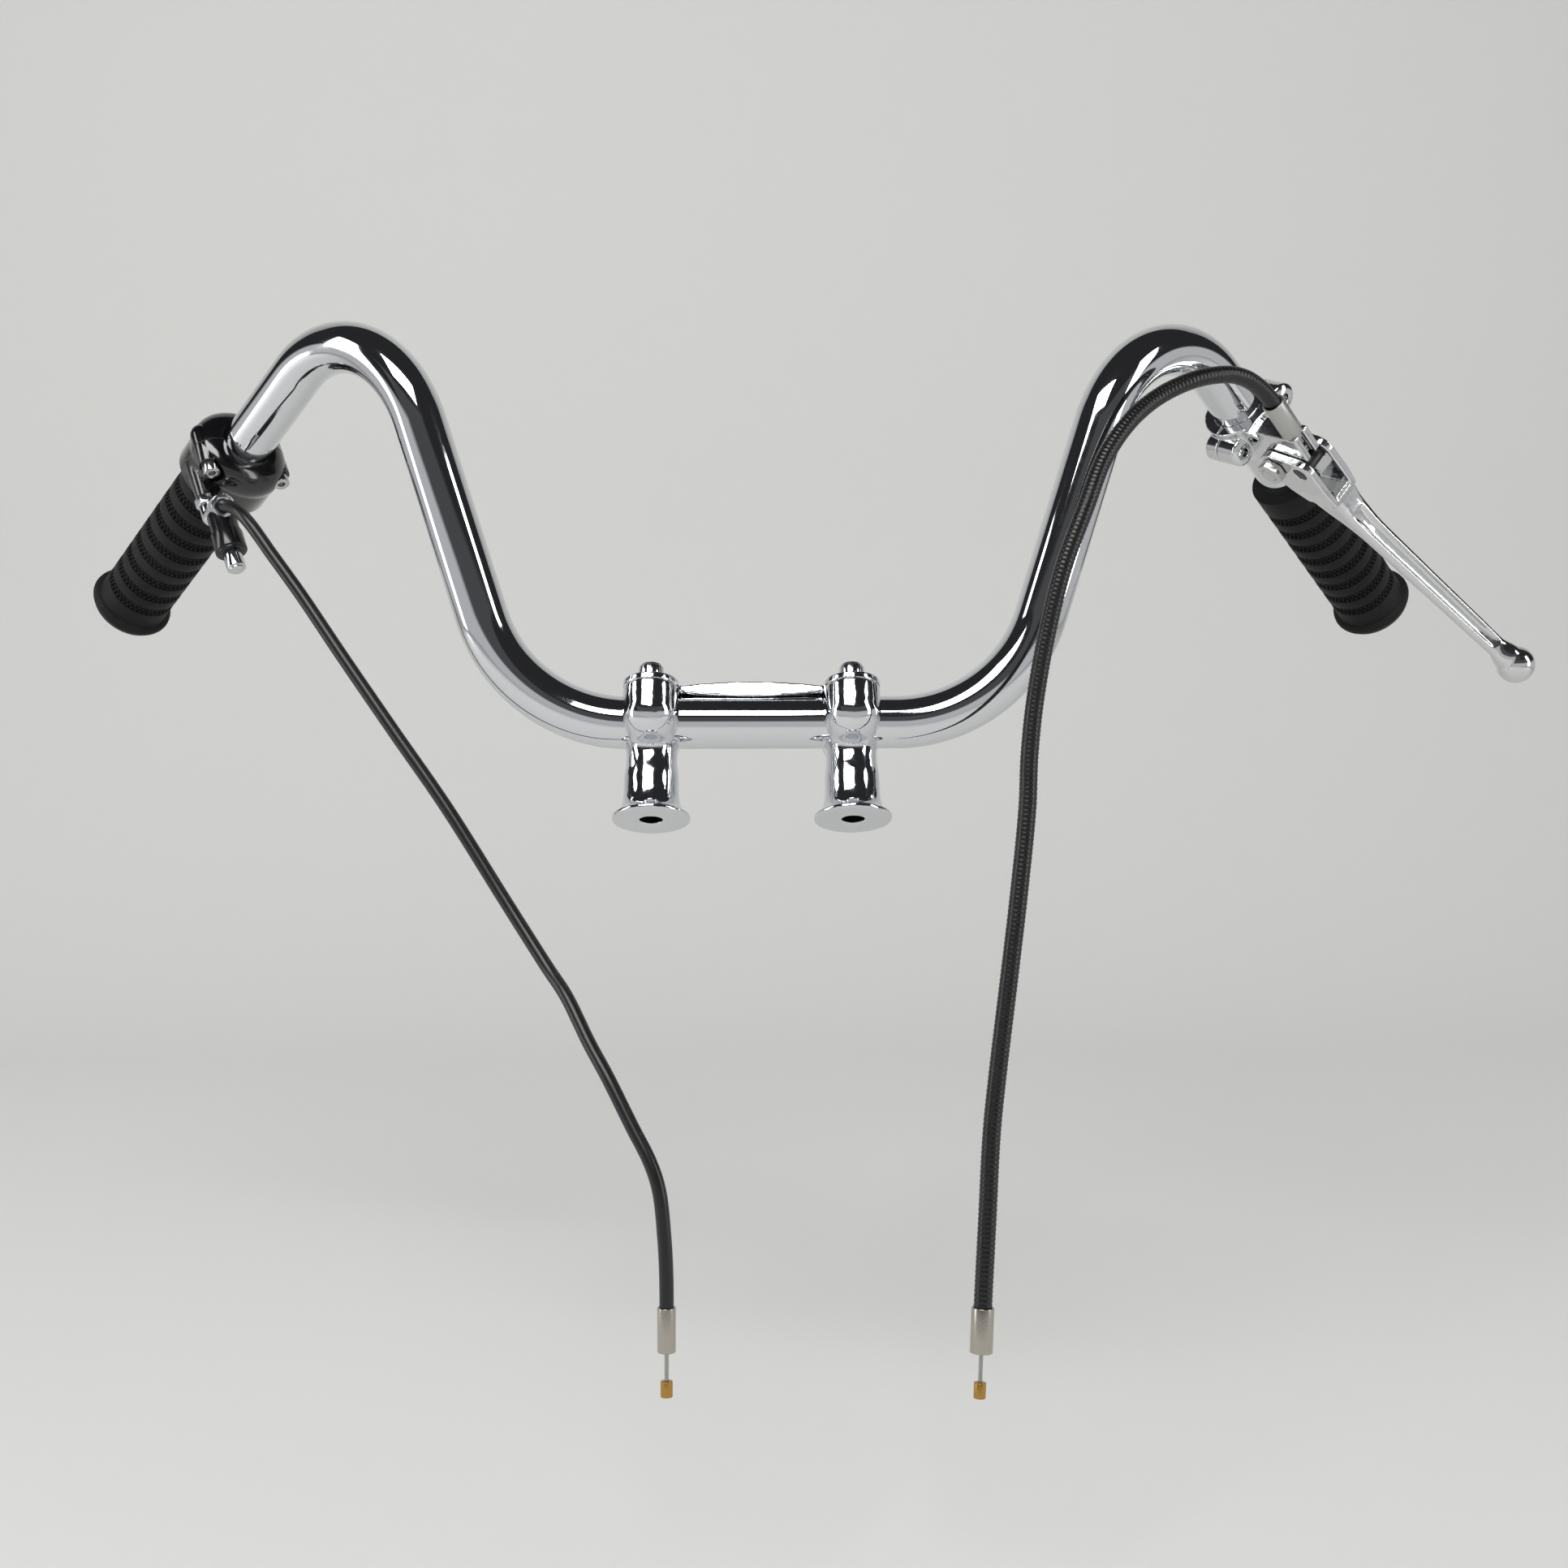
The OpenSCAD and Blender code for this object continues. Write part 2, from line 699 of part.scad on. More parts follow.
module perch_bores() {
  translate([0, 0, perch_at - perch_w]) cylinder(d = bar_d + 2 * seat_gap, h = 2 * perch_w);
  perch_screw_places() translate([0, 0, -cap_lug_h - over])
    cylinder(d = perch_screw_d + 2 * seat_gap, h = front_lug_h + cap_lug_h);
  perch_screw_places() translate([0, 0, front_lug_h - screw_flange_h])
    cylinder(d = screw_socket_d, h = lug_d);
  perch_screw_places() translate([0, 0, -cap_lug_h - perch_ring_d])
    cylinder(d = screw_head_d + 2 * move_gap, h = perch_ring_d);
}

module tongue_outline() {
  hull() {
    translate([-pivot_front, pivot_z]) circle(r = tongue_r);
    for (s = [-1, 1])
      translate([tongue_bite - perch_ring_d / 2, perch_at + s * (perch_w / 2 - tongue_foot_r)])
        circle(r = tongue_foot_r);
  }
  translate([-cable_front - tongue_t / 2, stop_in])
    square([cable_front - pivot_front + tongue_t, stop_len]);
}

module clutch_perch() {
  color("silver") at_perch() difference() {
    union() {
      intersection() {
        perch_shell();
        translate([-perch_ring_d, -perch_ring_d - move_gap / 2, 0])
          cube([2 * perch_ring_d, perch_ring_d, 2 * perch_at]);
      }
      translate([lever_off + tongue_t / 2, 0, 0]) rotate([0, -90, 0]) linear_extrude(tongue_t)
        mirror([1, -1]) tongue_outline();
    }
    perch_bores();
    translate([lever_off, -pivot_front, pivot_z]) rotate([0, 90, 0])
      cylinder(d = bush_d + 2 * seat_gap, h = 2 * tongue_t, center = true);
    translate([lever_off, -cable_front, stop_in - over])
      cylinder(d = ferrule_d - ferrule_step + 2 * seat_gap, h = ferrule_seat + over);
    translate([lever_off - wire_slot / 2, -cable_front - tongue_t, stop_in - over])
      cube([wire_slot, tongue_t + wire_slot, stop_len + 2 * over]);
  }
}

module perch_clamp_cap() {
  color("silver") at_perch() difference() {
    intersection() {
      perch_shell();
      translate([-perch_ring_d, move_gap / 2, 0]) cube([2 * perch_ring_d, perch_ring_d, 2 * perch_at]);
    }
    perch_bores();
  }
}

module perch_screws() {
  color("lightgray") at_perch() perch_screw_places() translate([0, 0, -cap_lug_h - screw_flange_h]) {
    cylinder(d = perch_screw_d, h = front_lug_h + cap_lug_h - screw_flange_h);
    cylinder(d = screw_head_d, h = screw_flange_h);
  }
}

module at_pivot() { at_lever_plane() translate([0, -pivot_front, pivot_z]) children(); }

module lever_bushing() {
  color("goldenrod") at_pivot() rotate([0, 90, 0]) difference() {
    cylinder(d = bush_d, h = tongue_t, center = true);
    cylinder(d = pivot_d + 2 * run_gap, h = tongue_t + 2 * over, center = true);
  }
}

module lever_pivot_bolt() {
  head_h = pivot_d * pivot_head_h_share;
  head_d = pivot_d * pivot_head_share;
  color("silver") at_pivot() rotate([0, 90, 0]) {
    translate([0, 0, -clevis_w / 2 - move_gap])
      cylinder(d = pivot_d, h = clevis_w + 2 * move_gap + pivot_d * nut_h_share);
    translate([0, 0, -clevis_w / 2 - move_gap - head_h]) difference() {
      cylinder(d = head_d, h = head_h);
      translate([0, 0, -over]) cylinder(d = head_d * hex_share, h = head_h / 2 + over, $fn = 6);
    }
  }
}

module pivot_nut() {
  color("silver") at_pivot() rotate([0, 90, 0]) translate([0, 0, clevis_w / 2 + move_gap]) difference() {
    cylinder(d = pivot_d * nut_share / cos(30), h = pivot_d * nut_h_share, $fn = 6);
    translate([0, 0, -over]) cylinder(d = pivot_d + 2 * seat_gap, h = pivot_d);
  }
}

// Clutch lever, drawn in the frame of its pivot: x across, y towards the rider, z outboard

blade_turn = atan2(ball_vec[1] - (root_front - pivot_front), ball_vec[0] - root_out);
blade_len = norm([ball_vec[0] - root_out, ball_vec[1] - (root_front - pivot_front)]);

module ear_outline() {
  hull() {
    circle(r = ear_r);
    translate([anchor_z - pivot_z, pivot_front - cable_front]) circle(r = ear_r - 1);
    translate([root_out, pivot_front - root_front]) circle(r = blade_t / 2);
  }
}

module clevis_plan() {
  polygon([
    [-clevis_w / 2, -ear_r], [clevis_w / 2, -ear_r], [clevis_w / 2, taper_out],
    [blade_w / 2, root_out + blade_t / 2], [-blade_w / 2, root_out + blade_t / 2],
    [-clevis_w / 2, taper_out]
  ]);
}

module clevis() {
  intersection() {
    rotate([0, -90, 0]) linear_extrude(clevis_w, center = true) ear_outline();
    translate([0, ear_r, 0]) rotate([90, 0, 0]) linear_extrude(3 * ear_r + root_front) clevis_plan();
  }
}

module blade() {
  translate([0, pivot_front - root_front, root_out]) rotate([blade_turn, 0, 0]) difference() {
    union() {
      scale([blade_w / blade_t, 1, 1]) cylinder(d = blade_t, h = blade_len);
      cylinder(d1 = blade_w, d2 = blade_t, h = blade_len * flare_share);
    }
    translate([0, -blade_t / 2, 0]) scale([groove_w_share * blade_w / blade_t, groove_d_share, 1])
      translate([0, 0, blade_len * groove_at_share]) cylinder(d = blade_t, h = blade_len * groove_len_share);
  }
  translate([0, -ball_vec[1], ball_vec[0]]) sphere(d = ball_d);
}

module clutch_lever() {
  color("silver") at_pivot() difference() {
    union() {
      clevis();
      blade();
    }
    translate([-clevis_gap / 2, -cable_front, -2 * ear_r])
      cube([clevis_gap, 2 * cable_front, 2 * ear_r + window_out]);
    rotate([0, 90, 0]) cylinder(d = pivot_d + 2 * run_gap, h = 2 * clevis_w, center = true);
    translate([0, pivot_front - cable_front, anchor_z - pivot_z]) rotate([0, 90, 0])
      cylinder(d = anchor_d + 2 * run_gap, h = 2 * clevis_w, center = true);
  }
}

module at_anchor() { at_lever_plane() translate([0, -cable_front, anchor_z]) children(); }

module cable_anchor() {
  color("dimgray") at_anchor() difference() {
    rotate([0, 90, 0]) cylinder(d = anchor_d, h = anchor_len, center = true);
    translate([0, 0, -anchor_d]) cylinder(d = wire_d + 2 * seat_gap, h = 2 * anchor_d);
  }
}

module anchor_wire() {
  color("gray") at_anchor() translate([0, 0, -wire_back]) cylinder(d = wire_d, h = wire_back + anchor_d / 2);
}

module clutch_cable_ferrule() {
  color("silver") at_lever_plane() translate([0, -cable_front, stop_in - ferrule_len]) difference() {
    union() {
      cylinder(d = ferrule_d, h = ferrule_len);
      cylinder(d = ferrule_d - ferrule_step, h = ferrule_len + ferrule_seat);
    }
    translate([0, 0, -over])
      cylinder(d = clutch_cable_d + 2 * seat_gap, h = ferrule_len * ferrule_bore_share + over);
    cylinder(d = wire_slot, h = ferrule_len + ferrule_seat + over);
  }
}

// Cables: one tube swept along the route's own points

function lerp(a, b, t) = a + (b - a) * t;

function spline(p, s) =
  let (n = len(p) - 1, u = min(max(s, 0), n - 0.0001), i = floor(u), t = u - i,
       a = p[max(i - 1, 0)], b = p[i], c = p[i + 1], d = p[min(i + 2, n)])
  0.5 * (2 * b + (c - a) * t + (2 * a - 5 * b + 4 * c - d) * t * t + (3 * b - a - 3 * c + d) * t * t * t);

function unit(v) = v / norm(v);

function heading(p, s) = unit(spline(p, s + 0.02) - spline(p, s - 0.02));

module swept_cable(p, d) {
  n = len(p) - 1;
  sides = [for (k = [0 : cable_sides - 1]) k * 360 / cable_sides];
  side = unit(cross(p[n] - p[0], [0, 1, 0]));
  rings = [for (i = [0 : ring_count])
    let (s = i / ring_count * n, h = heading(p, max(min(s, n - 0.03), 0.03)),
         e = unit(side - (side * h) * h), f = cross(h, e))
    [for (a = sides) spline(p, s) + d / 2 * (cos(a) * e + sin(a) * f)]];
  points = [for (ring = rings) each ring];
  walls = [for (i = [0 : ring_count - 1], k = [0 : cable_sides - 1])
    let (m = (k + 1) % cable_sides, a = i * cable_sides, b = a + cable_sides)
    [a + k, a + m, b + m, b + k]];
  first = [for (k = [cable_sides - 1 : -1 : 0]) k];
  last = [for (k = [0 : cable_sides - 1]) ring_count * cable_sides + k];
  polyhedron(points, concat([first], walls, [last]));
}

module throttle_cable() { color("black") swept_cable(throttle_route, throttle_cable_d); }

module clutch_cable() { color("black") swept_cable(clutch_route, clutch_cable_d); }

module at_end(p) {
  n = len(p) - 1;
  h = heading(p, n - 0.03);
  translate(p[n]) rotate([0, acos(h[2]), atan2(h[1], h[0])]) children();
}

module end_ferrule(d) {
  difference() {
    translate([0, 0, -end_ferrule_len])
      cylinder(d = d + 2 * end_ferrule_wall, h = end_ferrule_len + end_cap_h);
    translate([0, 0, -end_ferrule_len - over]) cylinder(d = d + 2 * seat_gap, h = end_ferrule_len + over);
    cylinder(d = wire_d + 2 * seat_gap, h = end_cap_h + over);
  }
}

module wire_end() { cylinder(d = wire_d, h = end_cap_h + wire_tail); }

module nipple() {
  translate([0, 0, end_cap_h + wire_tail - nipple_len]) difference() {
    cylinder(d = nipple_d, h = nipple_len);
    translate([0, 0, -over]) cylinder(d = wire_d + 2 * seat_gap, h = nipple_len + 2 * over);
  }
}

module throttle_cable_ferrule() { color("silver") at_end(throttle_route) end_ferrule(throttle_cable_d); }

module clutch_end_ferrule() { color("silver") at_end(clutch_route) end_ferrule(clutch_cable_d); }

module throttle_wire() { color("gray") at_end(throttle_route) wire_end(); }

module clutch_wire() { color("gray") at_end(clutch_route) wire_end(); }

module throttle_wire_nipple() { color("goldenrod") at_end(throttle_route) nipple(); }

module clutch_wire_nipple() { color("goldenrod") at_end(clutch_route) nipple(); }

handlebar_tube();
riser_left();
riser_right();
top_clamp();
clamp_bolts();
clamp_washers();
clutch_grip();
throttle_grip();
throttle_sleeve();
throttle_housing_upper();
throttle_housing_lower();
throttle_screws();
throttle_cable_nut();
throttle_elbow();
elbow_sleeve();
elbow_tip();
throttle_cable();
throttle_cable_ferrule();
throttle_wire();
throttle_wire_nipple();
clutch_perch();
perch_clamp_cap();
perch_screws();
lever_pivot_bolt();
pivot_nut();
lever_bushing();
clutch_lever();
cable_anchor();
anchor_wire();
clutch_cable_ferrule();
clutch_cable();
clutch_end_ferrule();
clutch_wire();
clutch_wire_nipple();
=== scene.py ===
# High-rise handlebar with risers, grips, twist throttle, clutch lever and both cables.
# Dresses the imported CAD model. Metres in the scene, millimetres in the settings of each piece.
import json
from math import asin, atan2, cos, hypot, pi, radians, sin, tan

import bmesh
import bpy
from mathutils import Matrix, Vector


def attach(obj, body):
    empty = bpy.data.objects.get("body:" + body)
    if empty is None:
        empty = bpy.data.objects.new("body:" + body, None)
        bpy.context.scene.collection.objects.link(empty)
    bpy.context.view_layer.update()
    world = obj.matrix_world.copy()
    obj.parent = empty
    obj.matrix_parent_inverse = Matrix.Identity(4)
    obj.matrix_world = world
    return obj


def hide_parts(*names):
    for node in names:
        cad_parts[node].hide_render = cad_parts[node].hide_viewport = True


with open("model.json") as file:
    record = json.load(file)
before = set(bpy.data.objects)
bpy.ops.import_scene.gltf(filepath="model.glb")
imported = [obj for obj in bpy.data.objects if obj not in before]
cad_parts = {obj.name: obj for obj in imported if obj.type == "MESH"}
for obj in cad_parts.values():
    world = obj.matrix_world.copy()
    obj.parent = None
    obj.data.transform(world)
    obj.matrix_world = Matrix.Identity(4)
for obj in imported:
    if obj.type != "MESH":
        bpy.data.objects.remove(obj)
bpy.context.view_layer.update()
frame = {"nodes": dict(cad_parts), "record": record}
scene = bpy.context.scene
mm = 0.001
print("frame loaded:", len(frame["nodes"]), "nodes")

# Camera: low in front of the bar, looking slightly down past it
photoCamera = {"place": (-0.0093, -0.8525, 0.1199), "turn": 1.63, "tilt": 6.87, "lens": 41.93, "sensor": 36.0}

lensData = bpy.data.cameras.new("photoCamera")
lensData.sensor_width = photoCamera["sensor"]
lensData.lens = photoCamera["lens"]
lensData.clip_start = 0.02
lensData.clip_end = 40
photoView = bpy.data.objects.new("photoCamera", lensData)
photoView.location = photoCamera["place"]
photoView.rotation_euler = (radians(90 - photoCamera["tilt"]), 0, -radians(photoCamera["turn"]))
scene.collection.objects.link(photoView)
scene.camera = photoView


def linearColour(hexCode, alpha=1.0):
    # sRGB hex to the linear values that sockets take
    parts = [int(hexCode[i:i + 2], 16) / 255 for i in (1, 3, 5)]
    return (*[c / 12.92 if c <= 0.04045 else ((c + 0.055) / 1.055) ** 2.4 for c in parts], alpha)


def addNode(tree, kind, settings=None, links=None):
    # one node, with its settings, its socket values and what is plugged into it
    node = tree.nodes.new(kind)
    for name, value in (settings or {}).items():
        setattr(node, name, value)
    for name, value in (links or {}).items():
        socket = node.inputs[name]
        if isinstance(value, bpy.types.NodeSocket):
            tree.links.new(value, socket)
        else:
            socket.default_value = value
    return node


def mapped(tree, value, fromLow, fromHigh, toLow=0.0, toHigh=1.0):
    # the value, carried from one range to another and held at its ends
    return addNode(tree, "ShaderNodeMapRange", links={
        "Value": value, "From Min": fromLow, "From Max": fromHigh, "To Min": toLow, "To Max": toHigh}).outputs[0]


def newMaterial(name, **surface):
    # a Principled surface; the keys are its socket names with _ for blanks
    material = bpy.data.materials.new(name)
    material.use_nodes = True
    tree = material.node_tree
    shader = tree.nodes["Principled BSDF"]
    for key, value in surface.items():
        socket = shader.inputs[key.replace("_", " ")]
        socket.default_value = linearColour(value) if isinstance(value, str) else value
    place = addNode(tree, "ShaderNodeTexCoord").outputs["Object"]
    return material, tree, shader, place


def perMetre(size):
    # how often a pattern of this size in millimetres repeats in a metre
    return 1 / (size * mm)


def noise(tree, vector, size, detail, roughness=0.5):
    # cloudy pattern with clouds of about this size in millimetres
    return addNode(tree, "ShaderNodeTexNoise", links={
        "Vector": vector, "Scale": perMetre(size), "Detail": detail, "Roughness": roughness})


def stretched(tree, vector, scale):
    # the same place, drawn out along the axes that have a scale below one
    return addNode(tree, "ShaderNodeMapping", links={"Vector": vector, "Scale": scale}).outputs[0]


def varyRoughness(tree, shader, pattern, low, high, fromLow=0.0, fromHigh=1.0):
    # roughness runs from low to high as the pattern does from fromLow to fromHigh
    tree.links.new(mapped(tree, pattern.outputs[0], fromLow, fromHigh, low, high), shader.inputs["Roughness"])


def raiseBy(tree, shader, pattern, strength, height):
    # bump of this height in millimetres, for relief too fine to model
    lift = addNode(tree, "ShaderNodeBump", links={
        "Height": pattern.outputs[0], "Strength": strength, "Distance": height * mm})
    tree.links.new(lift.outputs[0], shader.inputs["Normal"])


def tintBy(tree, shader, pattern, start, end):
    # base colour runs between two (place, hex colour) stops as the pattern does
    tint = addNode(tree, "ShaderNodeValToRGB", links={"Fac": pattern.outputs[0]})
    for stop, (at, colour) in zip(tint.color_ramp.elements, (start, end)):
        stop.position = at
        stop.color = linearColour(colour)
    tree.links.new(tint.outputs[0], shader.inputs["Base Color"])


# Chrome-plated steel tube: bent, polished and plated, so a mirror with faint wiping marks
def chromePlatedTube():
    material, tree, shader, place = newMaterial("chromePlatedTube", Base_Color="#DADCDF", Metallic=1.0,
                                                Roughness=0.045)
    marks = noise(tree, stretched(tree, place, (0.35, 1.0, 1.0)), 7, 6.0, 0.7)
    varyRoughness(tree, shader, marks, 0.03, 0.085, 0.35, 0.75)
    raiseBy(tree, shader, noise(tree, place, 28, 1.0), 0.05, 1.0)
    return material


# Chrome-plated casting: linished before plating, so the mirror is slightly wavy
def chromePlatedCasting():
    material, tree, shader, place = newMaterial("chromePlatedCasting", Base_Color="#DCDEE1", Metallic=1.0,
                                                Roughness=0.06)
    raiseBy(tree, shader, noise(tree, place, 9, 2.0), 0.22, 1.0)
    varyRoughness(tree, shader, noise(tree, place, 3, 5.0), 0.04, 0.12, 0.35, 0.75)
    return material


# Turned steel under bright chrome: the fine marks of the lathe still show in the plating
def chromePlatedScrew(name="chromePlatedScrew", colour="#D2D4D7", gloss=0.1):
    material, tree, shader, place = newMaterial(name, Base_Color=colour, Metallic=1.0, Roughness=gloss)
    grit = noise(tree, place, 1.2, 3.0)
    varyRoughness(tree, shader, grit, gloss * 0.6, gloss * 1.6)
    raiseBy(tree, shader, grit, 0.08, 0.4)
    return material


# Cast aluminium, buffed by hand: bright, a little softer than chrome, with long buffing lines
def polishedAluminium():
    material, tree, shader, place = newMaterial("polishedAluminium", Base_Color="#D9DADB", Metallic=1.0,
                                                Roughness=0.1)
    buff = noise(tree, stretched(tree, place, (0.2, 0.35, 1.0)), 1.5, 5.0, 0.65)
    varyRoughness(tree, shader, buff, 0.06, 0.17, 0.3, 0.75)
    raiseBy(tree, shader, noise(tree, place, 7, 2.0), 0.2, 1.0)
    return material


# Satin metals: bead-blasted or brushed, so they scatter the light evenly
def satinMetal(name, colour, roughness, grain):
    material, tree, shader, place = newMaterial(name, Base_Color=colour, Metallic=1.0, Roughness=roughness)
    grit = noise(tree, place, grain, 4.0)
    varyRoughness(tree, shader, grit, roughness * 0.75, roughness * 1.3)
    raiseBy(tree, shader, grit, 0.15, 0.3)
    return material


# Stranded steel wire: the lay of the strands runs round it
def strandedWire():
    material, tree, shader, place = newMaterial("strandedSteelWire", Base_Color="#A9A8A4", Metallic=1.0,
                                                Roughness=0.32)
    strands = addNode(tree, "ShaderNodeTexWave", settings={"bands_direction": "DIAGONAL"}, links={
        "Vector": place, "Scale": perMetre(0.9) / 20, "Distortion": 0.4})
    raiseBy(tree, shader, strands, 0.6, 0.3)
    return material


# Black stoving enamel on the die-cast housing: deep gloss with a faint orange peel
def blackEnamel():
    material, tree, shader, place = newMaterial("blackStovingEnamel", Base_Color="#0B0B0D", Roughness=0.16,
                                                Coat_Weight=0.6, Coat_Roughness=0.05)
    raiseBy(tree, shader, noise(tree, place, 2.2, 2.0), 0.12, 0.5)
    varyRoughness(tree, shader, noise(tree, place, 11, 6.0), 0.12, 0.26, 0.35, 0.7)
    return material


# Moulded black plastics: nylon, acetal and ribbed PVC differ in gloss and grain
def mouldedPlastic(name, colour, roughness, grain, relief):
    material, tree, shader, place = newMaterial(name, Base_Color=colour, Roughness=roughness, IOR=1.5)
    grit = noise(tree, place, grain, 4.0)
    varyRoughness(tree, shader, grit, roughness * 0.8, roughness * 1.25, 0.3, 0.7)
    raiseBy(tree, shader, grit, relief, 0.3)
    return material


# Black PVC over a wound cable: satin, with fine bright specks painted into its colour as highlight glints
def cableSheath():
    material, tree, shader, place = newMaterial("blackPvcSheath", Base_Color="#111113", Roughness=0.34, IOR=1.53)
    glintSpecks = noise(tree, place, 4, 8.0, 0.8)
    # painted highlight: bright specks in the base colour stand in for glints of light on the satin sheath
    tintBy(tree, shader, glintSpecks, (0.60, "#0F0F11"), (0.74, "#4A4A4C"))
    raiseBy(tree, shader, glintSpecks, 0.1, 0.4)
    return material


# Natural rubber, moulded in a blasted tool: matt black, greyer where dust has settled
def mouldedRubber():
    material, tree, shader, place = newMaterial("mouldedRubber", Base_Color="#0F0F10", Roughness=0.62,
                                                Specular_IOR_Level=0.22, Sheen_Weight=0.03, Sheen_Roughness=0.5)
    tintBy(tree, shader, noise(tree, place, 26, 6.0), (0.35, "#0C0C0D"), (0.75, "#1A1A1C"))
    grain = noise(tree, place, 0.8, 4.0, 0.6)
    raiseBy(tree, shader, grain, 0.18, 0.3)
    varyRoughness(tree, shader, grain, 0.52, 0.72, 0.3, 0.7)
    return material


finishes = {
    "chrome_plated_steel": chromePlatedTube(),
    "chrome_plated_casting": chromePlatedCasting(),
    "chrome_plated_screws": chromePlatedScrew(),
    "chrome_plated_elbow": chromePlatedScrew("chromePlatedElbow", "#CFD1D4", 0.09),
    "stainless_screws": chromePlatedScrew("stainlessSteelScrew", "#C6C6C4", 0.17),
    "polished_aluminium": polishedAluminium(),
    "satin_ferrule": satinMetal("satinBrushedAluminium", "#B9B9B6", 0.34, 0.8),
    "nickel_plated_ferrule": satinMetal("nickelPlatedSteel", "#B3AEA4", 0.24, 1.0),
    "steel_inner_wire": strandedWire(),
    "dark_anchor_steel": satinMetal("blackenedSteel", "#47474A", 0.38, 1.0),
    "brass_nipple": satinMetal("turnedBrass", "#B8904A", 0.3, 1.0),
    "bronze_bushing": satinMetal("sinteredBronze", "#A0713F", 0.42, 0.5),
    "black_enamel": blackEnamel(),
    "black_cap_plastic": mouldedPlastic("mouldedNylonCap", "#121214", 0.2, 3.0, 0.06),
    "black_acetal": mouldedPlastic("mouldedAcetal", "#141416", 0.36, 1.0, 0.1),
    "moulded_rubber": mouldedRubber(),
    "black_cable_sheath": cableSheath(),
    "ribbed_cable_sheath": mouldedPlastic("ribbedPvcSheath", "#0E0E10", 0.33, 1.4, 0.1),
}
print("finishes made:", len(finishes))

bodyOf, slotOf = {}, {}
for bodyName, bodyNodes in frame["record"]["behaviour"]["bodies"].items():
    for nodeName in bodyNodes:
        bodyOf[nodeName] = bodyName
for partRow in frame["record"]["subparts"]:
    slotOf[partRow["node"]] = partRow["material_slot"]
for nodeName, nodeObject in frame["nodes"].items():
    for slotRow in nodeObject.material_slots:
        slotRow.material = finishes[slotOf[nodeName]]


def smoothSkin(mesh, node, corner=None):
    # the node's own finish on faces that shade smoothly, with edges kept above the corner angle
    mesh.materials.clear()
    mesh.materials.append(finishes[slotOf[node]])
    for face in mesh.polygons:
        face.use_smooth = True
    if corner:
        mesh.set_sharp_from_angle(angle=radians(corner))


def addPiece(name, mesh, node, corner=32):
    # a new object in place of the node, which rides with the node's body
    smoothSkin(mesh, node, corner)
    piece = bpy.data.objects.new(name, mesh)
    scene.collection.objects.link(piece)
    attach(piece, bodyOf[node])
    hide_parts(node)
    return piece


def bakeShape(piece):
    # turns the modifiers into the mesh itself
    bpy.context.view_layer.update()
    piece.data = bpy.data.meshes.new_from_object(piece.evaluated_get(bpy.context.evaluated_depsgraph_get()))
    piece.modifiers.clear()


def meshFrom(name, points, faces, place=None):
    # points in millimetres, moved to their place on the bar
    mesh = bpy.data.meshes.new(name)
    move = (place or Matrix.Identity(4)).copy()
    mesh.from_pydata([(move @ Vector(p)) * mm for p in points], [], faces)
    mesh.validate()
    work = bmesh.new()
    work.from_mesh(mesh)
    bmesh.ops.recalc_face_normals(work, faces=work.faces)
    work.to_mesh(mesh)
    work.free()
    return mesh


# Centre line of the bar, as in the source of the part
barLine = {"centre": (5.5, 23.474, 44.147), "lowerHalf": 118.5, "rise": 229.0, "spread": 17.5, "lean": 8.5,
           "lowerBend": 74.0, "upperBend": 57.0, "upperTurn": 106.8, "upperRoll": -139.7, "run": 280.0}

spreadAngle, leanAngle = radians(barLine["spread"]), radians(barLine["lean"])
turnAngle, rollAngle = radians(barLine["upperTurn"]), radians(barLine["upperRoll"])
riseWay = Vector((sin(spreadAngle), cos(spreadAngle) * sin(leanAngle), cos(spreadAngle) * cos(leanAngle)))
acrossWay = Vector((cos(spreadAngle), -sin(spreadAngle) * sin(leanAngle), -sin(spreadAngle) * cos(leanAngle)))
backWay = Vector((0, cos(leanAngle), -sin(leanAngle)))
gripWay = cos(turnAngle) * riseWay - sin(turnAngle) * (cos(rollAngle) * acrossWay + sin(rollAngle) * backWay)
lowerCorner = Vector((barLine["lowerHalf"], 0, 0))
upperCorner = lowerCorner + barLine["rise"] * riseWay
gripEnd = upperCorner + barLine["run"] * gripWay


def alongGrip(side, roll=0.0):
    # place of a grip's own frame: z outboard along the tube from the upper corner, x down
    droop, sweep = asin(-gripWay.z), atan2(gripWay.y, gripWay.x)
    return (Matrix.Translation(barLine["centre"]) @ Matrix.Diagonal((side, 1, 1, 1))
            @ Matrix.Translation(upperCorner) @ Matrix.Rotation(sweep, 4, "Z")
            @ Matrix.Rotation(radians(90) + droop, 4, "Y") @ Matrix.Rotation(radians(roll), 4, "Z"))


def roundedLine(corners, radii, step=2.5):
    # a line of straights and true arcs through the corners
    line = [corners[0]]
    for before, corner, after, radius in zip(corners, corners[1:], corners[2:], radii):
        inWay, outWay = (corner - before).normalized(), (after - corner).normalized()
        angle = inWay.angle(outWay)
        reach = radius * tan(angle / 2)
        middle = corner - inWay * reach + (outWay - inWay * inWay.dot(outWay)).normalized() * radius
        start = corner - inWay * reach - middle
        axis = inWay.cross(outWay).normalized()
        count = max(2, round(angle / radians(step)))
        for i in range(count + 1):
            line.append(middle + Matrix.Rotation(angle * i / count, 3, axis) @ start)
    line.append(corners[-1])
    return line


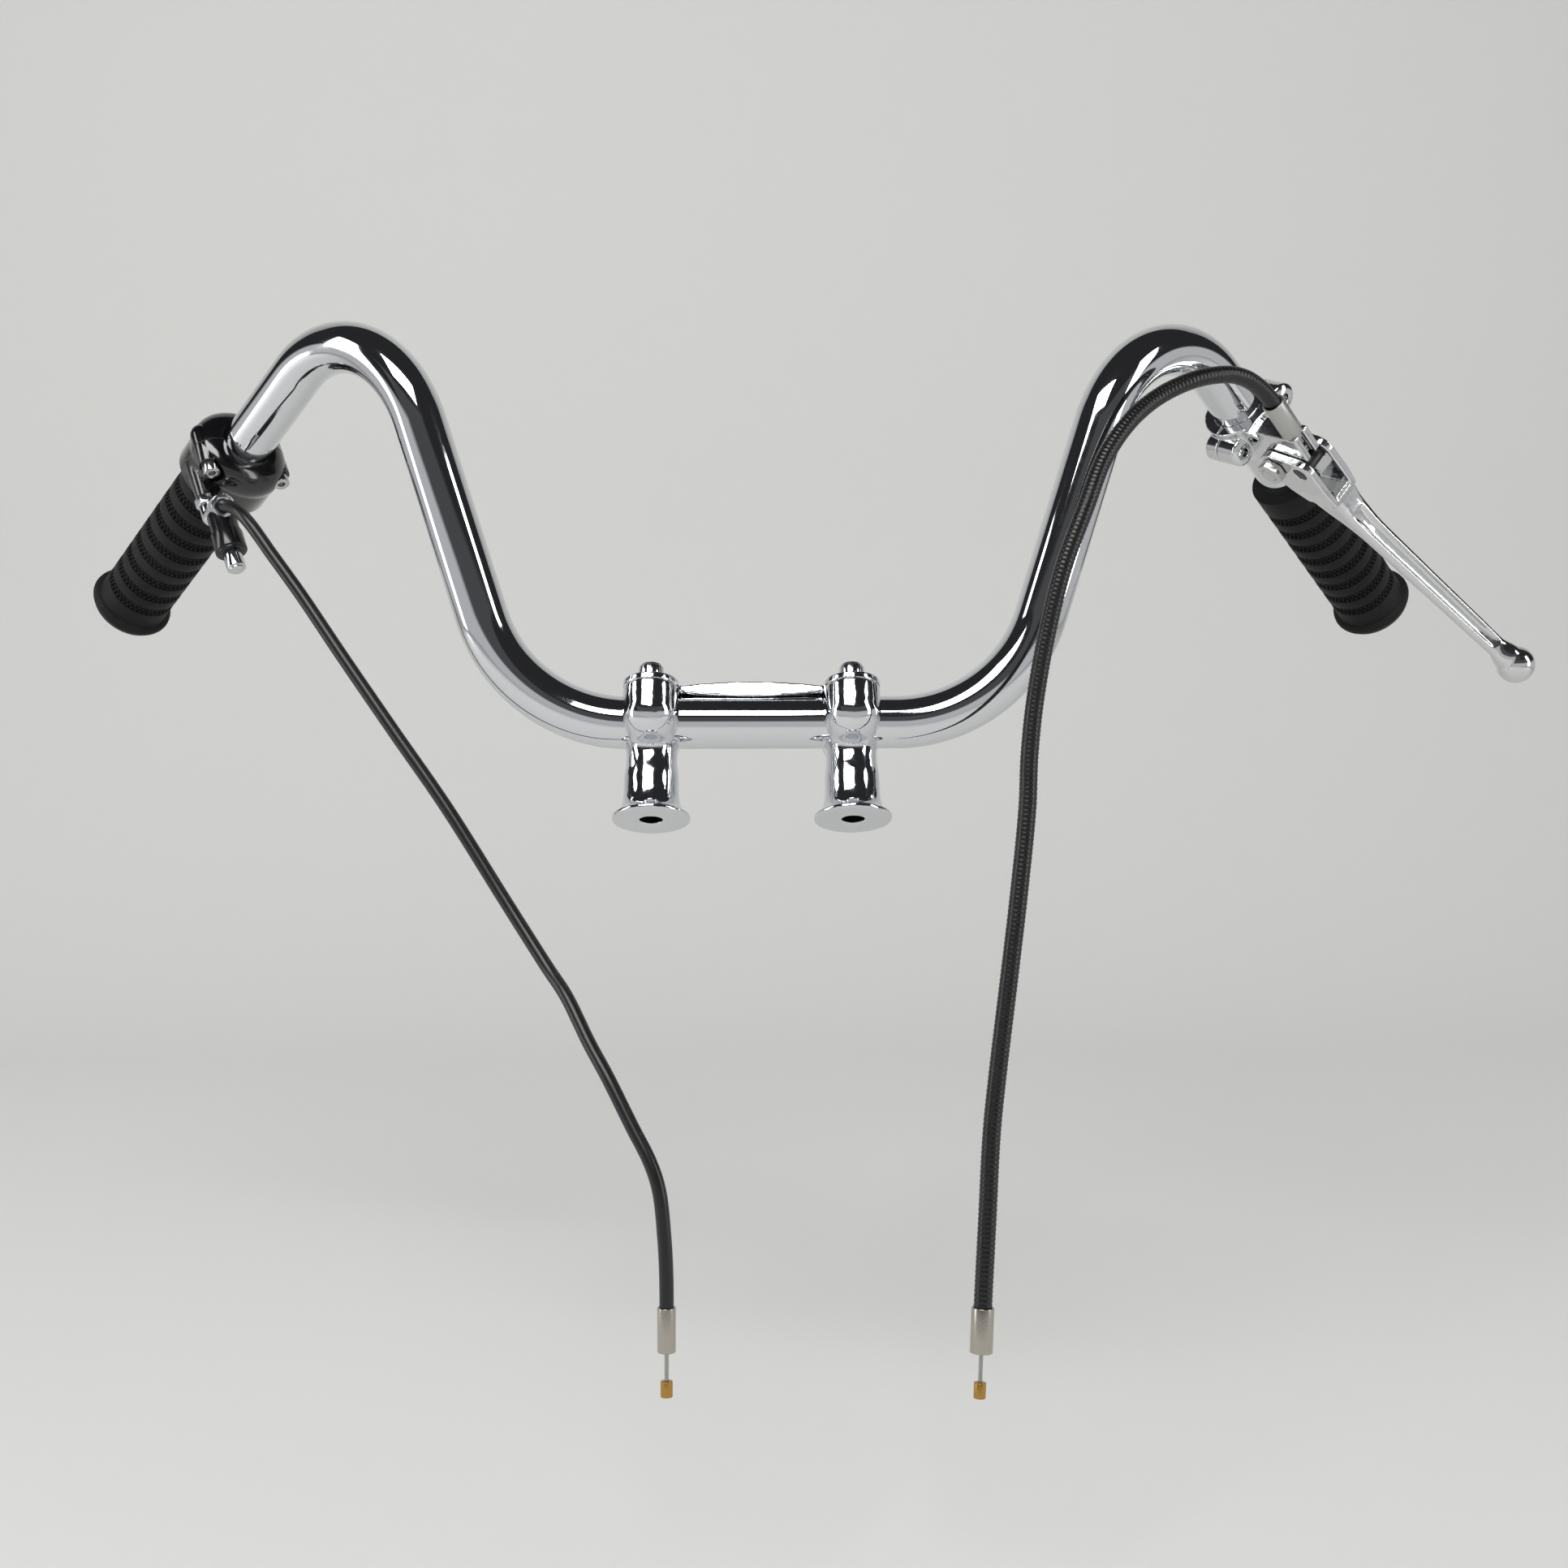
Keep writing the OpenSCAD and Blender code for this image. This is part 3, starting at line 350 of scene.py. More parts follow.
def sweptTube(line, radii, sides):
    # rings of points carried along a line without twist; radii holds one list of radii for each skin
    ways = [(b - a).normalized() for a, b in zip(line, line[1:])]
    ways = [ways[0]] + [(a + b).normalized() for a, b in zip(ways, ways[1:])] + [ways[-1]]
    side = ways[0].orthogonal().normalized()
    points, faces = [], []
    frames = []
    for i, way in enumerate(ways):
        if i:
            side = ways[i - 1].rotation_difference(way) @ side
        side = (side - way * side.dot(way)).normalized()
        frames.append((line[i], side.copy(), way.cross(side)))
    for skin in radii:
        first = len(points)
        for (centre, e, f), r in zip(frames, skin):
            points += [centre + r * (cos(2 * pi * k / sides) * e + sin(2 * pi * k / sides) * f)
                       for k in range(sides)]
        for i in range(len(line) - 1):
            for k in range(sides):
                m = (k + 1) % sides
                a, b = first + i * sides, first + (i + 1) * sides
                faces.append((a + k, a + m, b + m, b + k))
    last = (len(line) - 1) * sides
    if len(radii) == 2:
        inner = len(line) * sides
        for k in range(sides):
            m = (k + 1) % sides
            faces.append((k, m, inner + m, inner + k))
            faces.append((last + k, last + m, inner + last + m, inner + last + k))
    else:
        faces.append(tuple(range(sides)))
        faces.append(tuple(last + k for k in range(sides)))
    return points, faces


def splineAt(route, s):
    # the same smooth curve through the points as in the source
    u = min(max(s, 0), len(route) - 1.0001)
    i = int(u)
    t = u - i
    a, b, c, d = (Vector(route[k]) for k in (max(i - 1, 0), i, i + 1, min(i + 2, len(route) - 1)))
    return 0.5 * (2 * b + (c - a) * t + (2 * a - 5 * b + 4 * c - d) * t * t + (3 * b - a - 3 * c + d) * t ** 3)


def evenLine(route, step, splits=40):
    # points every step millimetres along the curve, and its length
    fine = [splineAt(route, s / splits) for s in range(splits * (len(route) - 1) + 1)]
    reach = [0.0]
    for a, b in zip(fine, fine[1:]):
        reach.append(reach[-1] + (b - a).length)
    count = max(2, round(reach[-1] / step))
    line, k = [], 0
    for i in range(count + 1):
        target = reach[-1] * i / count
        while k < len(fine) - 2 and reach[k + 1] < target:
            k += 1
        part = (target - reach[k]) / max(reach[k + 1] - reach[k], 1e-9)
        line.append(fine[k].lerp(fine[k + 1], min(part, 1)))
    return line, reach[-1]


# Throttle cable: smooth PVC sheath from the elbow's eye to its end ferrule
throttleCable = {"diameter": 6.5, "step": 2.5, "sides": 28, "route": [
    (-0.271, 0.1015, 0.1495), (-0.2685, 0.098, 0.1495), (-0.2625, 0.09, 0.1485), (-0.2555, 0.083, 0.1445),
    (-0.249, 0.0785, 0.138), (-0.2395, 0.074, 0.1255), (-0.2225, 0.066, 0.1035), (-0.201, 0.055, 0.074),
    (-0.1745, 0.0415, 0.0385), (-0.147, 0.0275, 0.002), (-0.1185, 0.0115, -0.0395), (-0.098, -0.004, -0.0675),
    (-0.087, -0.016, -0.0805), (-0.076, -0.0295, -0.0985), (-0.0665, -0.0405, -0.1125), (-0.0555, -0.051, -0.1315),
    (-0.047, -0.0585, -0.146), (-0.0425, -0.063, -0.159), (-0.0405, -0.066, -0.177), (-0.0395, -0.069, -0.1965),
    (-0.0395, -0.0725, -0.225)]}
# Clutch cable: fluted PVC sheath, its fine rings drawn at their real pitch
clutchCable = {"diameter": 8.5, "pitch": 2.1, "groove": 0.22, "ring": (0, 0.35, 1, 0.35), "plainEnd": 10,
               "sides": 24, "route": [
    (0.264, 0.0635, 0.194), (0.2585, 0.059, 0.199), (0.2505, 0.0525, 0.205), (0.24, 0.0445, 0.2095),
    (0.228, 0.038, 0.2105), (0.211, 0.0305, 0.207), (0.193, 0.024, 0.1985), (0.1775, 0.0155, 0.186),
    (0.1645, 0.007, 0.1685), (0.1545, -0.0025, 0.146), (0.1435, -0.0085, 0.118), (0.136, -0.012, 0.0885),
    (0.1305, -0.0155, 0.0585), (0.1275, -0.0195, 0.0325), (0.126, -0.0245, 0.007), (0.1215, -0.033, -0.0295),
    (0.1165, -0.041, -0.0655), (0.1105, -0.05, -0.108), (0.107, -0.0565, -0.1365), (0.1045, -0.0645, -0.1715),
    (0.102, -0.0725, -0.206), (0.101, -0.076, -0.2255)]}


def layCable(name, node, cable):
    # a sheath along its route, in place of the node
    route = [Vector(p) / mm for p in cable["route"]]
    radius = cable["diameter"] / 2
    if "pitch" in cable:
        ring, plain = cable["ring"], cable["plainEnd"]
        line, length = evenLine(route, cable["pitch"] / len(ring))
        radii = [radius - (cable["groove"] * ring[i % len(ring)] if plain < i < len(line) - plain else 0)
                 for i in range(len(line))]
    else:
        line, length = evenLine(route, cable["step"])
        radii = [radius] * len(line)
    points, faces = sweptTube(line, [radii], cable["sides"])
    piece = addPiece(name, meshFrom(name, points, faces), node, corner=50)
    print(name, "laid:", round(length), "mm")


# Bar tube: one bent steel tube, open at both ends
barTube = {"outer": 12.7, "wall": 2.4, "sides": 96, "step": 2.0}

halfLine = roundedLine([Vector((0, 0, 0)), lowerCorner, upperCorner, gripEnd],
                       [barLine["lowerBend"], barLine["upperBend"]], barTube["step"])
otherHalf = [Vector((-p.x, p.y, p.z)) for p in reversed(halfLine[1:])]
tubeLine = [p + Vector(barLine["centre"]) for p in otherHalf + halfLine]
outerSkin = [barTube["outer"]] * len(tubeLine)
innerSkin = [barTube["outer"] - barTube["wall"]] * len(tubeLine)
tubePoints, tubeFaces = sweptTube(tubeLine, [outerSkin, innerSkin], barTube["sides"])
addPiece("barTube", meshFrom("barTube", tubePoints, tubeFaces), "handlebar_tube")
print("tube swept:", len(tubeLine), "rings")


def turned(profile, steps):
    # a lathe shape from a closed profile of (radius, height)
    points, faces = [], []
    count = len(profile)
    for k in range(steps):
        a = 2 * pi * k / steps
        points += [(r * cos(a), r * sin(a), z) for r, z in profile]
    for k in range(steps):
        m = (k + 1) % steps
        for i in range(count):
            j = (i + 1) % count
            faces.append((k * count + i, m * count + i, m * count + j, k * count + j))
    return points, faces


def arc(centre, radius, start, end, count=6, squash=1.0):
    # points of an arc in a profile, angles in degrees
    return [(centre[0] + radius * cos(radians(start + (end - start) * i / count)),
             centre[1] + squash * radius * sin(radians(start + (end - start) * i / count)))
            for i in range(count + 1)]


# Rubber grip: smooth bands between grooves that carry two rows of short teeth
rubberGrip = {"length": 124.0, "start": 160.35, "bandRadius": 19.0, "depth": 1.3, "pitch": 12.2, "grooves": 8,
              "collar": 13.64, "groove": 5.612, "round": 0.45, "flangeRadius": 22.25, "flange": 8.0, "cap": 4.0,
              "steps": 144, "pole": 0.02,
              # the rim of the flange bulges a little, then the end face domes over: (share of radius, drop)
              "rimSteps": 4, "rimBulge": 0.006, "rimStep": 0.95,
              "dome": ((0.9, 1.25), (0.82, 0.66), (0.7, 0.28), (0.5, 0.1), (0.25, 0.02)),
              "teeth": 46, "toothLength": 2.15, "toothGap": 0.65, "toothHeight": 1.2, "toothWidth": 1.25,
              "toothRoot": 0.3,
              # a tooth's three outlines from foot to tip: (share of height, of width, of length)
              "toothShape": ((0.7, 0.8, 0.92), (1.0, 0.45, 0.7))}


def rubberGripPiece(name, node, side, bore, inboard):
    g = rubberGrip
    low, soft = g["bandRadius"] - g["depth"], g["round"]
    profile = [(bore, inboard), (g["bandRadius"] - soft, inboard)]
    profile += arc((g["bandRadius"] - soft, inboard + soft), soft, -60, 0, 3)
    for i in range(g["grooves"]):
        z = g["collar"] + i * g["pitch"]
        end = z + g["groove"]
        profile += arc((g["bandRadius"] - soft, z - soft), soft, 0, 80, 4)
        profile += arc((low + soft, z + soft), soft, 260, 180, 4)
        profile += arc((low + soft, end - soft), soft, 180, 100, 4)
        profile += arc((g["bandRadius"] - soft, end + soft), soft, -80, 0, 4)
    base = g["length"] - g["flange"]
    rim = base + g["flange"] * 0.275
    profile += [(g["bandRadius"], base - 1.6), (g["bandRadius"] + 0.5, base - 0.5),
                (g["flangeRadius"] - 0.9, base - 0.05), (g["flangeRadius"] - 0.25, base + 0.7)]
    profile += [(g["flangeRadius"] * (1 - g["rimBulge"] * k * k), rim + k * g["rimStep"])
                for k in range(g["rimSteps"])]
    profile += [(g["flangeRadius"] * share, g["length"] - drop) for share, drop in g["dome"]]
    profile += [(g["flangeRadius"] * g["pole"], g["length"]), (g["pole"], g["length"] - g["cap"]),
                (bore, g["length"] - g["cap"])]
    points, faces = turned(profile, g["steps"])
    # teeth stand in the grooves, wider at the foot than at the tip
    outlines = [(low - g["toothRoot"], 1.0, 1.0)]
    outlines += [(low + g["toothHeight"] * rise, w, l) for rise, w, l in g["toothShape"]]
    corners = ((-1, -1), (1, -1), (1, 1), (-1, 1))
    for i in range(g["grooves"]):
        middle = g["collar"] + i * g["pitch"] + g["groove"] / 2
        for row in (-1, 1):
            z = middle + row * (g["toothLength"] + g["toothGap"]) / 2
            for k in range(g["teeth"]):
                turnBy = 2 * pi * (k + 0.5 * (row > 0)) / g["teeth"]
                n = len(points)
                for r, w, l in outlines:
                    for sx, sz in corners:
                        a = turnBy + sx * w * g["toothWidth"] / 2 / r
                        points.append((r * cos(a), r * sin(a), z + sz * l * g["toothLength"] / 2))
                for ring in (0, 4):
                    for q in range(4):
                        p = (q + 1) % 4
                        faces.append((n + ring + q, n + ring + p, n + ring + 4 + p, n + ring + 4 + q))
                faces.append((n + 8, n + 9, n + 10, n + 11))
                faces.append((n + 3, n + 2, n + 1, n))
    place = alongGrip(side) @ Matrix.Translation((0, 0, g["start"]))
    return addPiece(name, meshFrom(name, points, faces, place), node, corner=42)


rubberGripPiece("clutchGripRubber", "clutch_grip", 1, 12.75, 0.0)
rubberGripPiece("throttleGripRubber", "throttle_grip", -1, 14.85, 4.0)
print("grips moulded")


def softenedCopy(name, node, width, corner=30):
    # the node's own shape with its edges rounded by width, as on a turned or pressed part
    mesh = frame["nodes"][node].data.copy()
    mesh.name = name
    work = bmesh.new()
    work.from_mesh(mesh)
    bmesh.ops.remove_doubles(work, verts=work.verts, dist=1e-6)
    bmesh.ops.dissolve_degenerate(work, dist=2e-6, edges=work.edges)
    bmesh.ops.dissolve_limit(work, angle_limit=radians(0.4), verts=work.verts, edges=work.edges)
    work.to_mesh(mesh)
    work.free()
    piece = addPiece(name, mesh, node)
    edge = piece.modifiers.new("roundedEdges", "BEVEL")
    edge.width = width * mm
    edge.segments = 3
    edge.limit_method = "ANGLE"
    edge.angle_limit = radians(corner)
    edge.use_clamp_overlap = False
    bakeShape(piece)
    smoothSkin(piece.data, node, corner)
    return piece


def castCopy(name, node, grid, blends, keep=1.0, shape=None, sweepShare=None, sweepTurns=0):
    # a casting: every edge and inside corner flows into the next face, and where
    # sweepShare says so it flows in a longer sweep
    mesh = shape or frame["nodes"][node].data.copy()
    mesh.name = name
    piece = addPiece(name, mesh, node)
    skin = piece.modifiers.new("evenSkin", "REMESH")
    skin.mode = "VOXEL"
    skin.voxel_size = grid * mm
    flow = piece.modifiers.new("softBlends", "SMOOTH")
    flow.factor = 0.5
    flow.iterations = blends
    if sweepShare:
        bakeShape(piece)
        zone = piece.vertex_groups.new(name="longSweep")
        for v in piece.data.vertices:
            share = sweepShare(v.co / mm)
            if share > 0:
                zone.add([v.index], share, "REPLACE")
        sweep = piece.modifiers.new("longSweep", "SMOOTH")
        sweep.factor = 0.5
        sweep.iterations = sweepTurns
        sweep.vertex_group = zone.name
    lighter = piece.modifiers.new("fewerFaces", "DECIMATE")
    lighter.ratio = keep
    bakeShape(piece)
    smoothSkin(piece.data, node)
    print(name, len(piece.data.polygons), "faces")


# Clutch lever: forged fork, then a blade with a long groove that ends in a pear-shaped ball.
# In its own frame x runs across, y towards the rider and z outboard.
forgedLever = {"roll": 16.0, "pivot": (8, -29, 121), "cut": 28.0, "sides": 72, "cast": (0.4, 9, 0.45),
               # outlines of the blade: (z, y, width, thickness)
               "sections": [(25.5, -16.7, 18.4, 17.0), (31, -18.1, 17.4, 15.4), (38, -20.3, 16.2, 12.4),
                            (46, -23.6, 15.0, 9.6), (58, -28.4, 13.9, 8.0), (80, -37.6, 13.1, 7.5),
                            (105, -48.2, 12.3, 7.2), (130, -58.9, 11.6, 7.0), (143, -64.4, 11.0, 7.2)],
               "rowsBetween": 10,
               # the outline is nearly a box at the fork, an oval along the blade and a circle at the ball
               "square": 2.5, "forkSquare": 3.5, "forkTo": 56.0, "forkFade": 26.0, "ballFade": 12.0,
               # the neck swells to the ball this far before its centre
               "ball": 10.0, "ballAt": (163.0, -73.0), "neck": 6.5, "swellFrom": 17.0, "swellOver": 10.5,
               "neckRows": 24, "ballRun": 16.45, "ballRows": 30,
               "grooveFrom": 42.0, "grooveTo": 147.0, "grooveIn": 16.0, "grooveOut": 12.0, "grooveDepth": 2.7,
               "grooveShare": 0.56, "runOut": 0.6}


def leverOutlines():
    # middle and (width, thickness) of each outline, from the fork to the tip of the ball
    v = forgedLever
    knots = [Vector((z, y, 0)) for z, y, w, t in v["sections"]]
    sizes = [Vector((w, t, 0)) for z, y, w, t in v["sections"]]
    middle = Vector((*v["ballAt"], 0))
    way, reach = (middle - knots[-1]).normalized(), (middle - knots[-1]).length
    outlines = []
    for i in range(v["rowsBetween"] * (len(knots) - 1) + 1):
        s = i / v["rowsBetween"]
        outlines.append((splineAt(knots, s), splineAt(sizes, s)))
    full = 2 * (v["ball"] ** 2 - v["neck"] ** 2) ** 0.5
    for i in range(1, v["neckRows"] + 1):
        u = -reach + (reach - v["neck"]) * i / v["neckRows"]
        grow = max(0, (u + v["swellFrom"]) / v["swellOver"])
        grow = grow * grow * (3 - 2 * grow)
        outlines.append((middle + way * u, sizes[-1].lerp(Vector((full, full, 0)), grow)))
    for i in range(1, v["ballRows"] + 1):
        u = -v["neck"] + v["ballRun"] * sin(pi / 2 * i / v["ballRows"])
        across = 2 * max(v["ball"] ** 2 - u * u, 0.01) ** 0.5
        outlines.append((middle + way * u, Vector((across, across, 0))))
    return outlines


def outlinePoints(at, size, front):
    # a rounded box, oval or circle with the groove cut into its front
    v = forgedLever
    atBall = min(max((at.x - v["sections"][-1][0]) / v["ballFade"], 0), 1)
    atFork = min(max((v["forkTo"] - at.x) / v["forkFade"], 0), 1)
    power = v["square"] + (2 - v["square"]) * atBall + v["forkSquare"] * atFork
    deep = min((at.x - v["grooveFrom"]) / v["grooveIn"], (v["grooveTo"] - at.x) / v["grooveOut"], 1)
    deep = max(deep, 0) ** v["runOut"]
    points = []
    for k in range(v["sides"]):
        c, q = cos(2 * pi * k / v["sides"]), sin(2 * pi * k / v["sides"])
        x = size.x / 2 * abs(c) ** (2 / power) * (1 if c > 0 else -1)
        d = size.y / 2 * abs(q) ** (2 / power) * (1 if q > 0 else -1)
        if d > 0:
            d -= v["grooveDepth"] * deep * max(0, 1 - (2 * x / (size.x * v["grooveShare"])) ** 4)
        point = at + front * d
        points.append(Vector((x, point.y, point.x)))
    return points


def leverShape():
    # the node's own fork up to the cut, and the blade lofted through its outlines
    v = forgedLever
    place = alongGrip(1, v["roll"]) @ Matrix.Translation(v["pivot"])
    work = bmesh.new()
    work.from_mesh(frame["nodes"]["clutch_lever"].data)
    bmesh.ops.remove_doubles(work, verts=work.verts, dist=1e-6)
    outward = (place.to_3x3() @ Vector((0, 0, 1))).normalized()
    bmesh.ops.bisect_plane(work, geom=work.verts[:] + work.edges[:] + work.faces[:], dist=1e-7,
                           plane_co=(place @ Vector((0, 0, v["cut"]))) * mm, plane_no=outward, clear_outer=True)
    bmesh.ops.holes_fill(work, edges=[e for e in work.edges if e.is_boundary], sides=0)
    outlines = leverOutlines()
    middles = [at for at, size in outlines]
    rings = []
    for (at, size), before, after in zip(outlines, middles[:1] + middles, middles[1:] + middles[-1:]):
        ahead = (after - before).normalized()
        front = Vector((ahead.y, -ahead.x, 0))
        rings.append([work.verts.new((place @ p) * mm) for p in outlinePoints(at, size, front)])
    for a, b in zip(rings, rings[1:]):
        for k in range(v["sides"]):
            m = (k + 1) % v["sides"]
            work.faces.new((a[k], a[m], b[m], b[k]))
    work.faces.new(rings[0])
    work.faces.new(rings[-1])
    bmesh.ops.recalc_face_normals(work, faces=work.faces)
    mesh = bpy.data.meshes.new("leverShape")
    work.to_mesh(mesh)
    work.free()
    return mesh


castCopy("clutchLever", "clutch_lever", *forgedLever["cast"], leverShape())

# Throttle housing: two die-cast halves of a fat ring, with screw columns and the cable's boss on the lower one
housing = {"place": 133.0, "roll": -8.0, "width": 31.0, "edge": 0.6, "corner": 28.0,
           # section: a fat ring, then a shoulder and a rim
           "ring": 25.5, "fat": 10.5, "shoulder": 24.4, "shoulderFrom": 16.5, "rim": 22.8, "rimStep": 2.0,
           "bore": 12.76, "sleeveBore": 15.15, "drumBore": 19.35, "drumFrom": 17.65, "drumTo": 27.35,
           # the edge at the seam draws in towards the middle of the section over this share of the half turn
           "seamMiddle": (19, 15), "seamInset": (0.95, 0.97), "seamShare": 0.006,
           "columnAcross": 20.0, "columnAlong": 9.0, "columnRadius": 5.7, "columnReach": 11.5, "columnFoot": 0.3,
           "domeFrom": 7.0, "domeStretch": 1.25, "pocket": 5.6, "pocketFlare": 2.0, "pocketTo": 45.0,
           "bossAcross": -19.0, "bossAlong": 22.5, "boss": (5.5, 4.5, 23.0),
           "steps": 80, "lumpSteps": 48, "boreSteps": 96}


def lathedUpright(profile, steps, across, along):
    # a closed lathe shape whose axis points down from the bar: profile holds (radius, drop)
    points, faces = [], []
    for radius, drop in profile:
        points += [(drop, across + radius * cos(2 * pi * k / steps), along + radius * sin(2 * pi * k / steps))
                   for k in range(steps)]
    for i in range(len(profile) - 1):
        for k in range(steps):
            m = (k + 1) % steps
            faces.append((i * steps + k, i * steps + m, (i + 1) * steps + m, (i + 1) * steps + k))
    faces.append(tuple(range(steps)))
    faces.append(tuple((len(profile) - 1) * steps + k for k in range(steps)))
    return points, faces


def roundBar(radius, start, end, steps):
    # a closed cylinder along the bar
    points = [(radius * cos(2 * pi * k / steps), radius * sin(2 * pi * k / steps), z)
              for z in (start, end) for k in range(steps)]
    faces = [(k, (k + 1) % steps, steps + (k + 1) % steps, steps + k) for k in range(steps)]
    return points, faces + [tuple(range(steps)), tuple(range(steps, 2 * steps))]


def together(shells):
    # one list of points and one of faces from several closed shells
    points, faces = [], []
    for more, skins in shells:
        faces += [tuple(len(points) + i for i in face) for face in skins]
        points += more
    return points, faces


def housingSection():
    # closed outline of the ring as (radius, distance along the bar)
    h = housing
    edge, step = h["edge"], h["width"] - h["rimStep"]
    section = arc((h["ring"] - h["fat"], h["fat"]), h["fat"], -102, 26, 30)
    section += [(h["shoulder"], h["shoulderFrom"]), (h["shoulder"], step - edge)]
    section += arc((h["shoulder"] - edge, step - edge), edge, 20, 90, 4)
    section += [(h["rim"], step), (h["rim"], h["width"] - edge)]
    section += arc((h["rim"] - edge, h["width"] - edge), edge, 20, 90, 4)
    return section + [(h["sleeveBore"], h["width"]), (h["sleeveBore"], h["drumTo"]), (h["drumBore"], h["drumTo"]),
                      (h["drumBore"], h["drumFrom"]), (h["bore"], h["drumFrom"])]


def halfRing(section, startTurn):
    # half a turn of the section from startTurn, its edges eased at both seams
    h = housing
    count, steps, seam = len(section), h["steps"], h["seamShare"]
    (middleR, middleZ), (insetR, insetZ) = h["seamMiddle"], h["seamInset"]
    eased = [(middleR + (r - middleR) * insetR, middleZ + (z - middleZ) * insetZ) for r, z in section]
    shares = [0.0] + [seam + (1 - 2 * seam) * i / (steps - 2) for i in range(steps - 1)] + [1.0]
    points, faces = [], []
    for i, share in enumerate(shares):
        turnBy = startTurn + pi * share
        points += [(r * cos(turnBy), r * sin(turnBy), z) for r, z in (eased if i in (0, steps) else section)]
    for i in range(steps):
        for k in range(count):
            m = (k + 1) % count
            faces.append((i * count + k, i * count + m, (i + 1) * count + m, (i + 1) * count + k))
    return points, faces + [tuple(range(count)), tuple(steps * count + k for k in range(count))]


def housingHalf(name, node, lower):
    h = housing
    r, reach, edge, steps = h["columnRadius"], h["columnReach"], h["edge"], h["lumpSteps"]
    column = [(r - h["columnFoot"], 0.0), (r, h["columnFoot"])]
    if lower:
        column += arc((r - edge, reach - edge), edge, 0, 90, 3)
    else:
        column += arc((0, h["domeFrom"]), r, 0, 80, 8, h["domeStretch"])
        column = [(radius, -drop) for radius, drop in column]
    shells = [halfRing(housingSection(), pi / 2 * (-1 if lower else 1))]
    shells += [lathedUpright(column, steps, side * h["columnAcross"], h["columnAlong"]) for side in (-1, 1)]
    cuts = []
    if lower:
        wide, narrow, tall = h["boss"]
        boss = [(wide, 0.0), (narrow + 0.1, tall - 0.5), (narrow - 0.4, tall)]
        shells.append(lathedUpright(boss, steps, h["bossAcross"], h["bossAlong"]))
        pocket = [(h["pocket"], reach), (h["pocket"] + h["pocketFlare"], h["pocketTo"])]
        cuts = [lathedUpright(pocket, steps, side * h["columnAcross"], h["columnAlong"]) for side in (-1, 1)]
    # columns and boss end at the recess of the drum and at the bore
    cuts.append(roundBar(h["drumBore"] - 0.15, h["drumFrom"] + 0.1, h["drumTo"] - 0.1, h["boreSteps"]))
    cuts.append(roundBar(h["bore"] + 0.02, -2.0, h["drumFrom"] + 1, h["boreSteps"]))
    place = alongGrip(-1, h["roll"]) @ Matrix.Translation((0, 0, h["place"]))
    piece = addPiece(name, meshFrom(name, *together(shells), place), node)
    cutter = bpy.data.objects.new(name + "Cut", meshFrom(name + "Cut", *together(cuts), place))
    scene.collection.objects.link(cutter)
    cut = piece.modifiers.new("pockets", "BOOLEAN")
    cut.operation, cut.solver, cut.object, cut.use_self = "DIFFERENCE", "EXACT", cutter, True
    bakeShape(piece)
    bpy.data.objects.remove(cutter)
    smoothSkin(piece.data, node, h["corner"])
    print(name, len(piece.data.polygons), "faces")


housingHalf("throttleHousingUpper", "throttle_housing_upper", False)
housingHalf("throttleHousingLower", "throttle_housing_lower", True)

# Risers: the arms swell out of the post in one long sweep over closed bolt holes.
# In a riser's own frame x runs along the bar, y across it and z up the post.
riserForm = {"rake": 28.0, "halfSpan": 47.625, "cast": (0.45, 8, 0.4), "sweepTurns": 220,
             "boltAt": 18.5, "armHeight": 47.0, "ball": 13.15, "ballSides": 64,
             "holeFloor": 35.3, "holeRim": 0.4, "holeReach": 4.6, "footHole": (7.0, 26.0), "barHeight": 50.0,
             # where the sweep sets in and dies out: distance from the bar, heights, distance across
             "clearOfBar": (14.2, 17), "overFoot": (10, 16), "underArm": (39, 45), "armSide": (21, 29)}


def riserPlace(side):
    v = riserForm
    return Matrix.Rotation(-radians(v["rake"]), 4, "X") @ Matrix.Translation((side * v["halfSpan"], 0, 0))


def riserShape(node, side):
    # the node's own shape with a round floor set into each bolt hole
    v = riserForm
    place = Matrix.Diagonal((mm, mm, mm, 1)) @ riserPlace(side)
    work = bmesh.new()
    work.from_mesh(frame["nodes"][node].data)
    for end in (-1, 1):
        cap = bmesh.ops.create_uvsphere(work, u_segments=v["ballSides"], v_segments=v["ballSides"],
                                        radius=v["ball"])["verts"]
        at = Matrix.Translation((0, end * v["boltAt"], v["armHeight"]))
        bmesh.ops.transform(work, matrix=place @ at, verts=cap)
        edges = dict.fromkeys(edge for vert in cap for edge in vert.link_edges)
        faces = dict.fromkeys(face for vert in cap for face in vert.link_faces)
        cut = bmesh.ops.bisect_plane(work, geom=[*cap, *edges, *faces], dist=1e-7, clear_outer=True,
                                     plane_co=place @ Vector((0, 0, v["holeFloor"])),
                                     plane_no=(place.to_3x3() @ Vector((0, 0, 1))).normalized())
        rim = [part for part in cut["geom_cut"] if isinstance(part, bmesh.types.BMEdge)]
        bmesh.ops.holes_fill(work, edges=rim, sides=0)
    mesh = bpy.data.meshes.new(node)
    work.to_mesh(mesh)
    work.free()
    return mesh


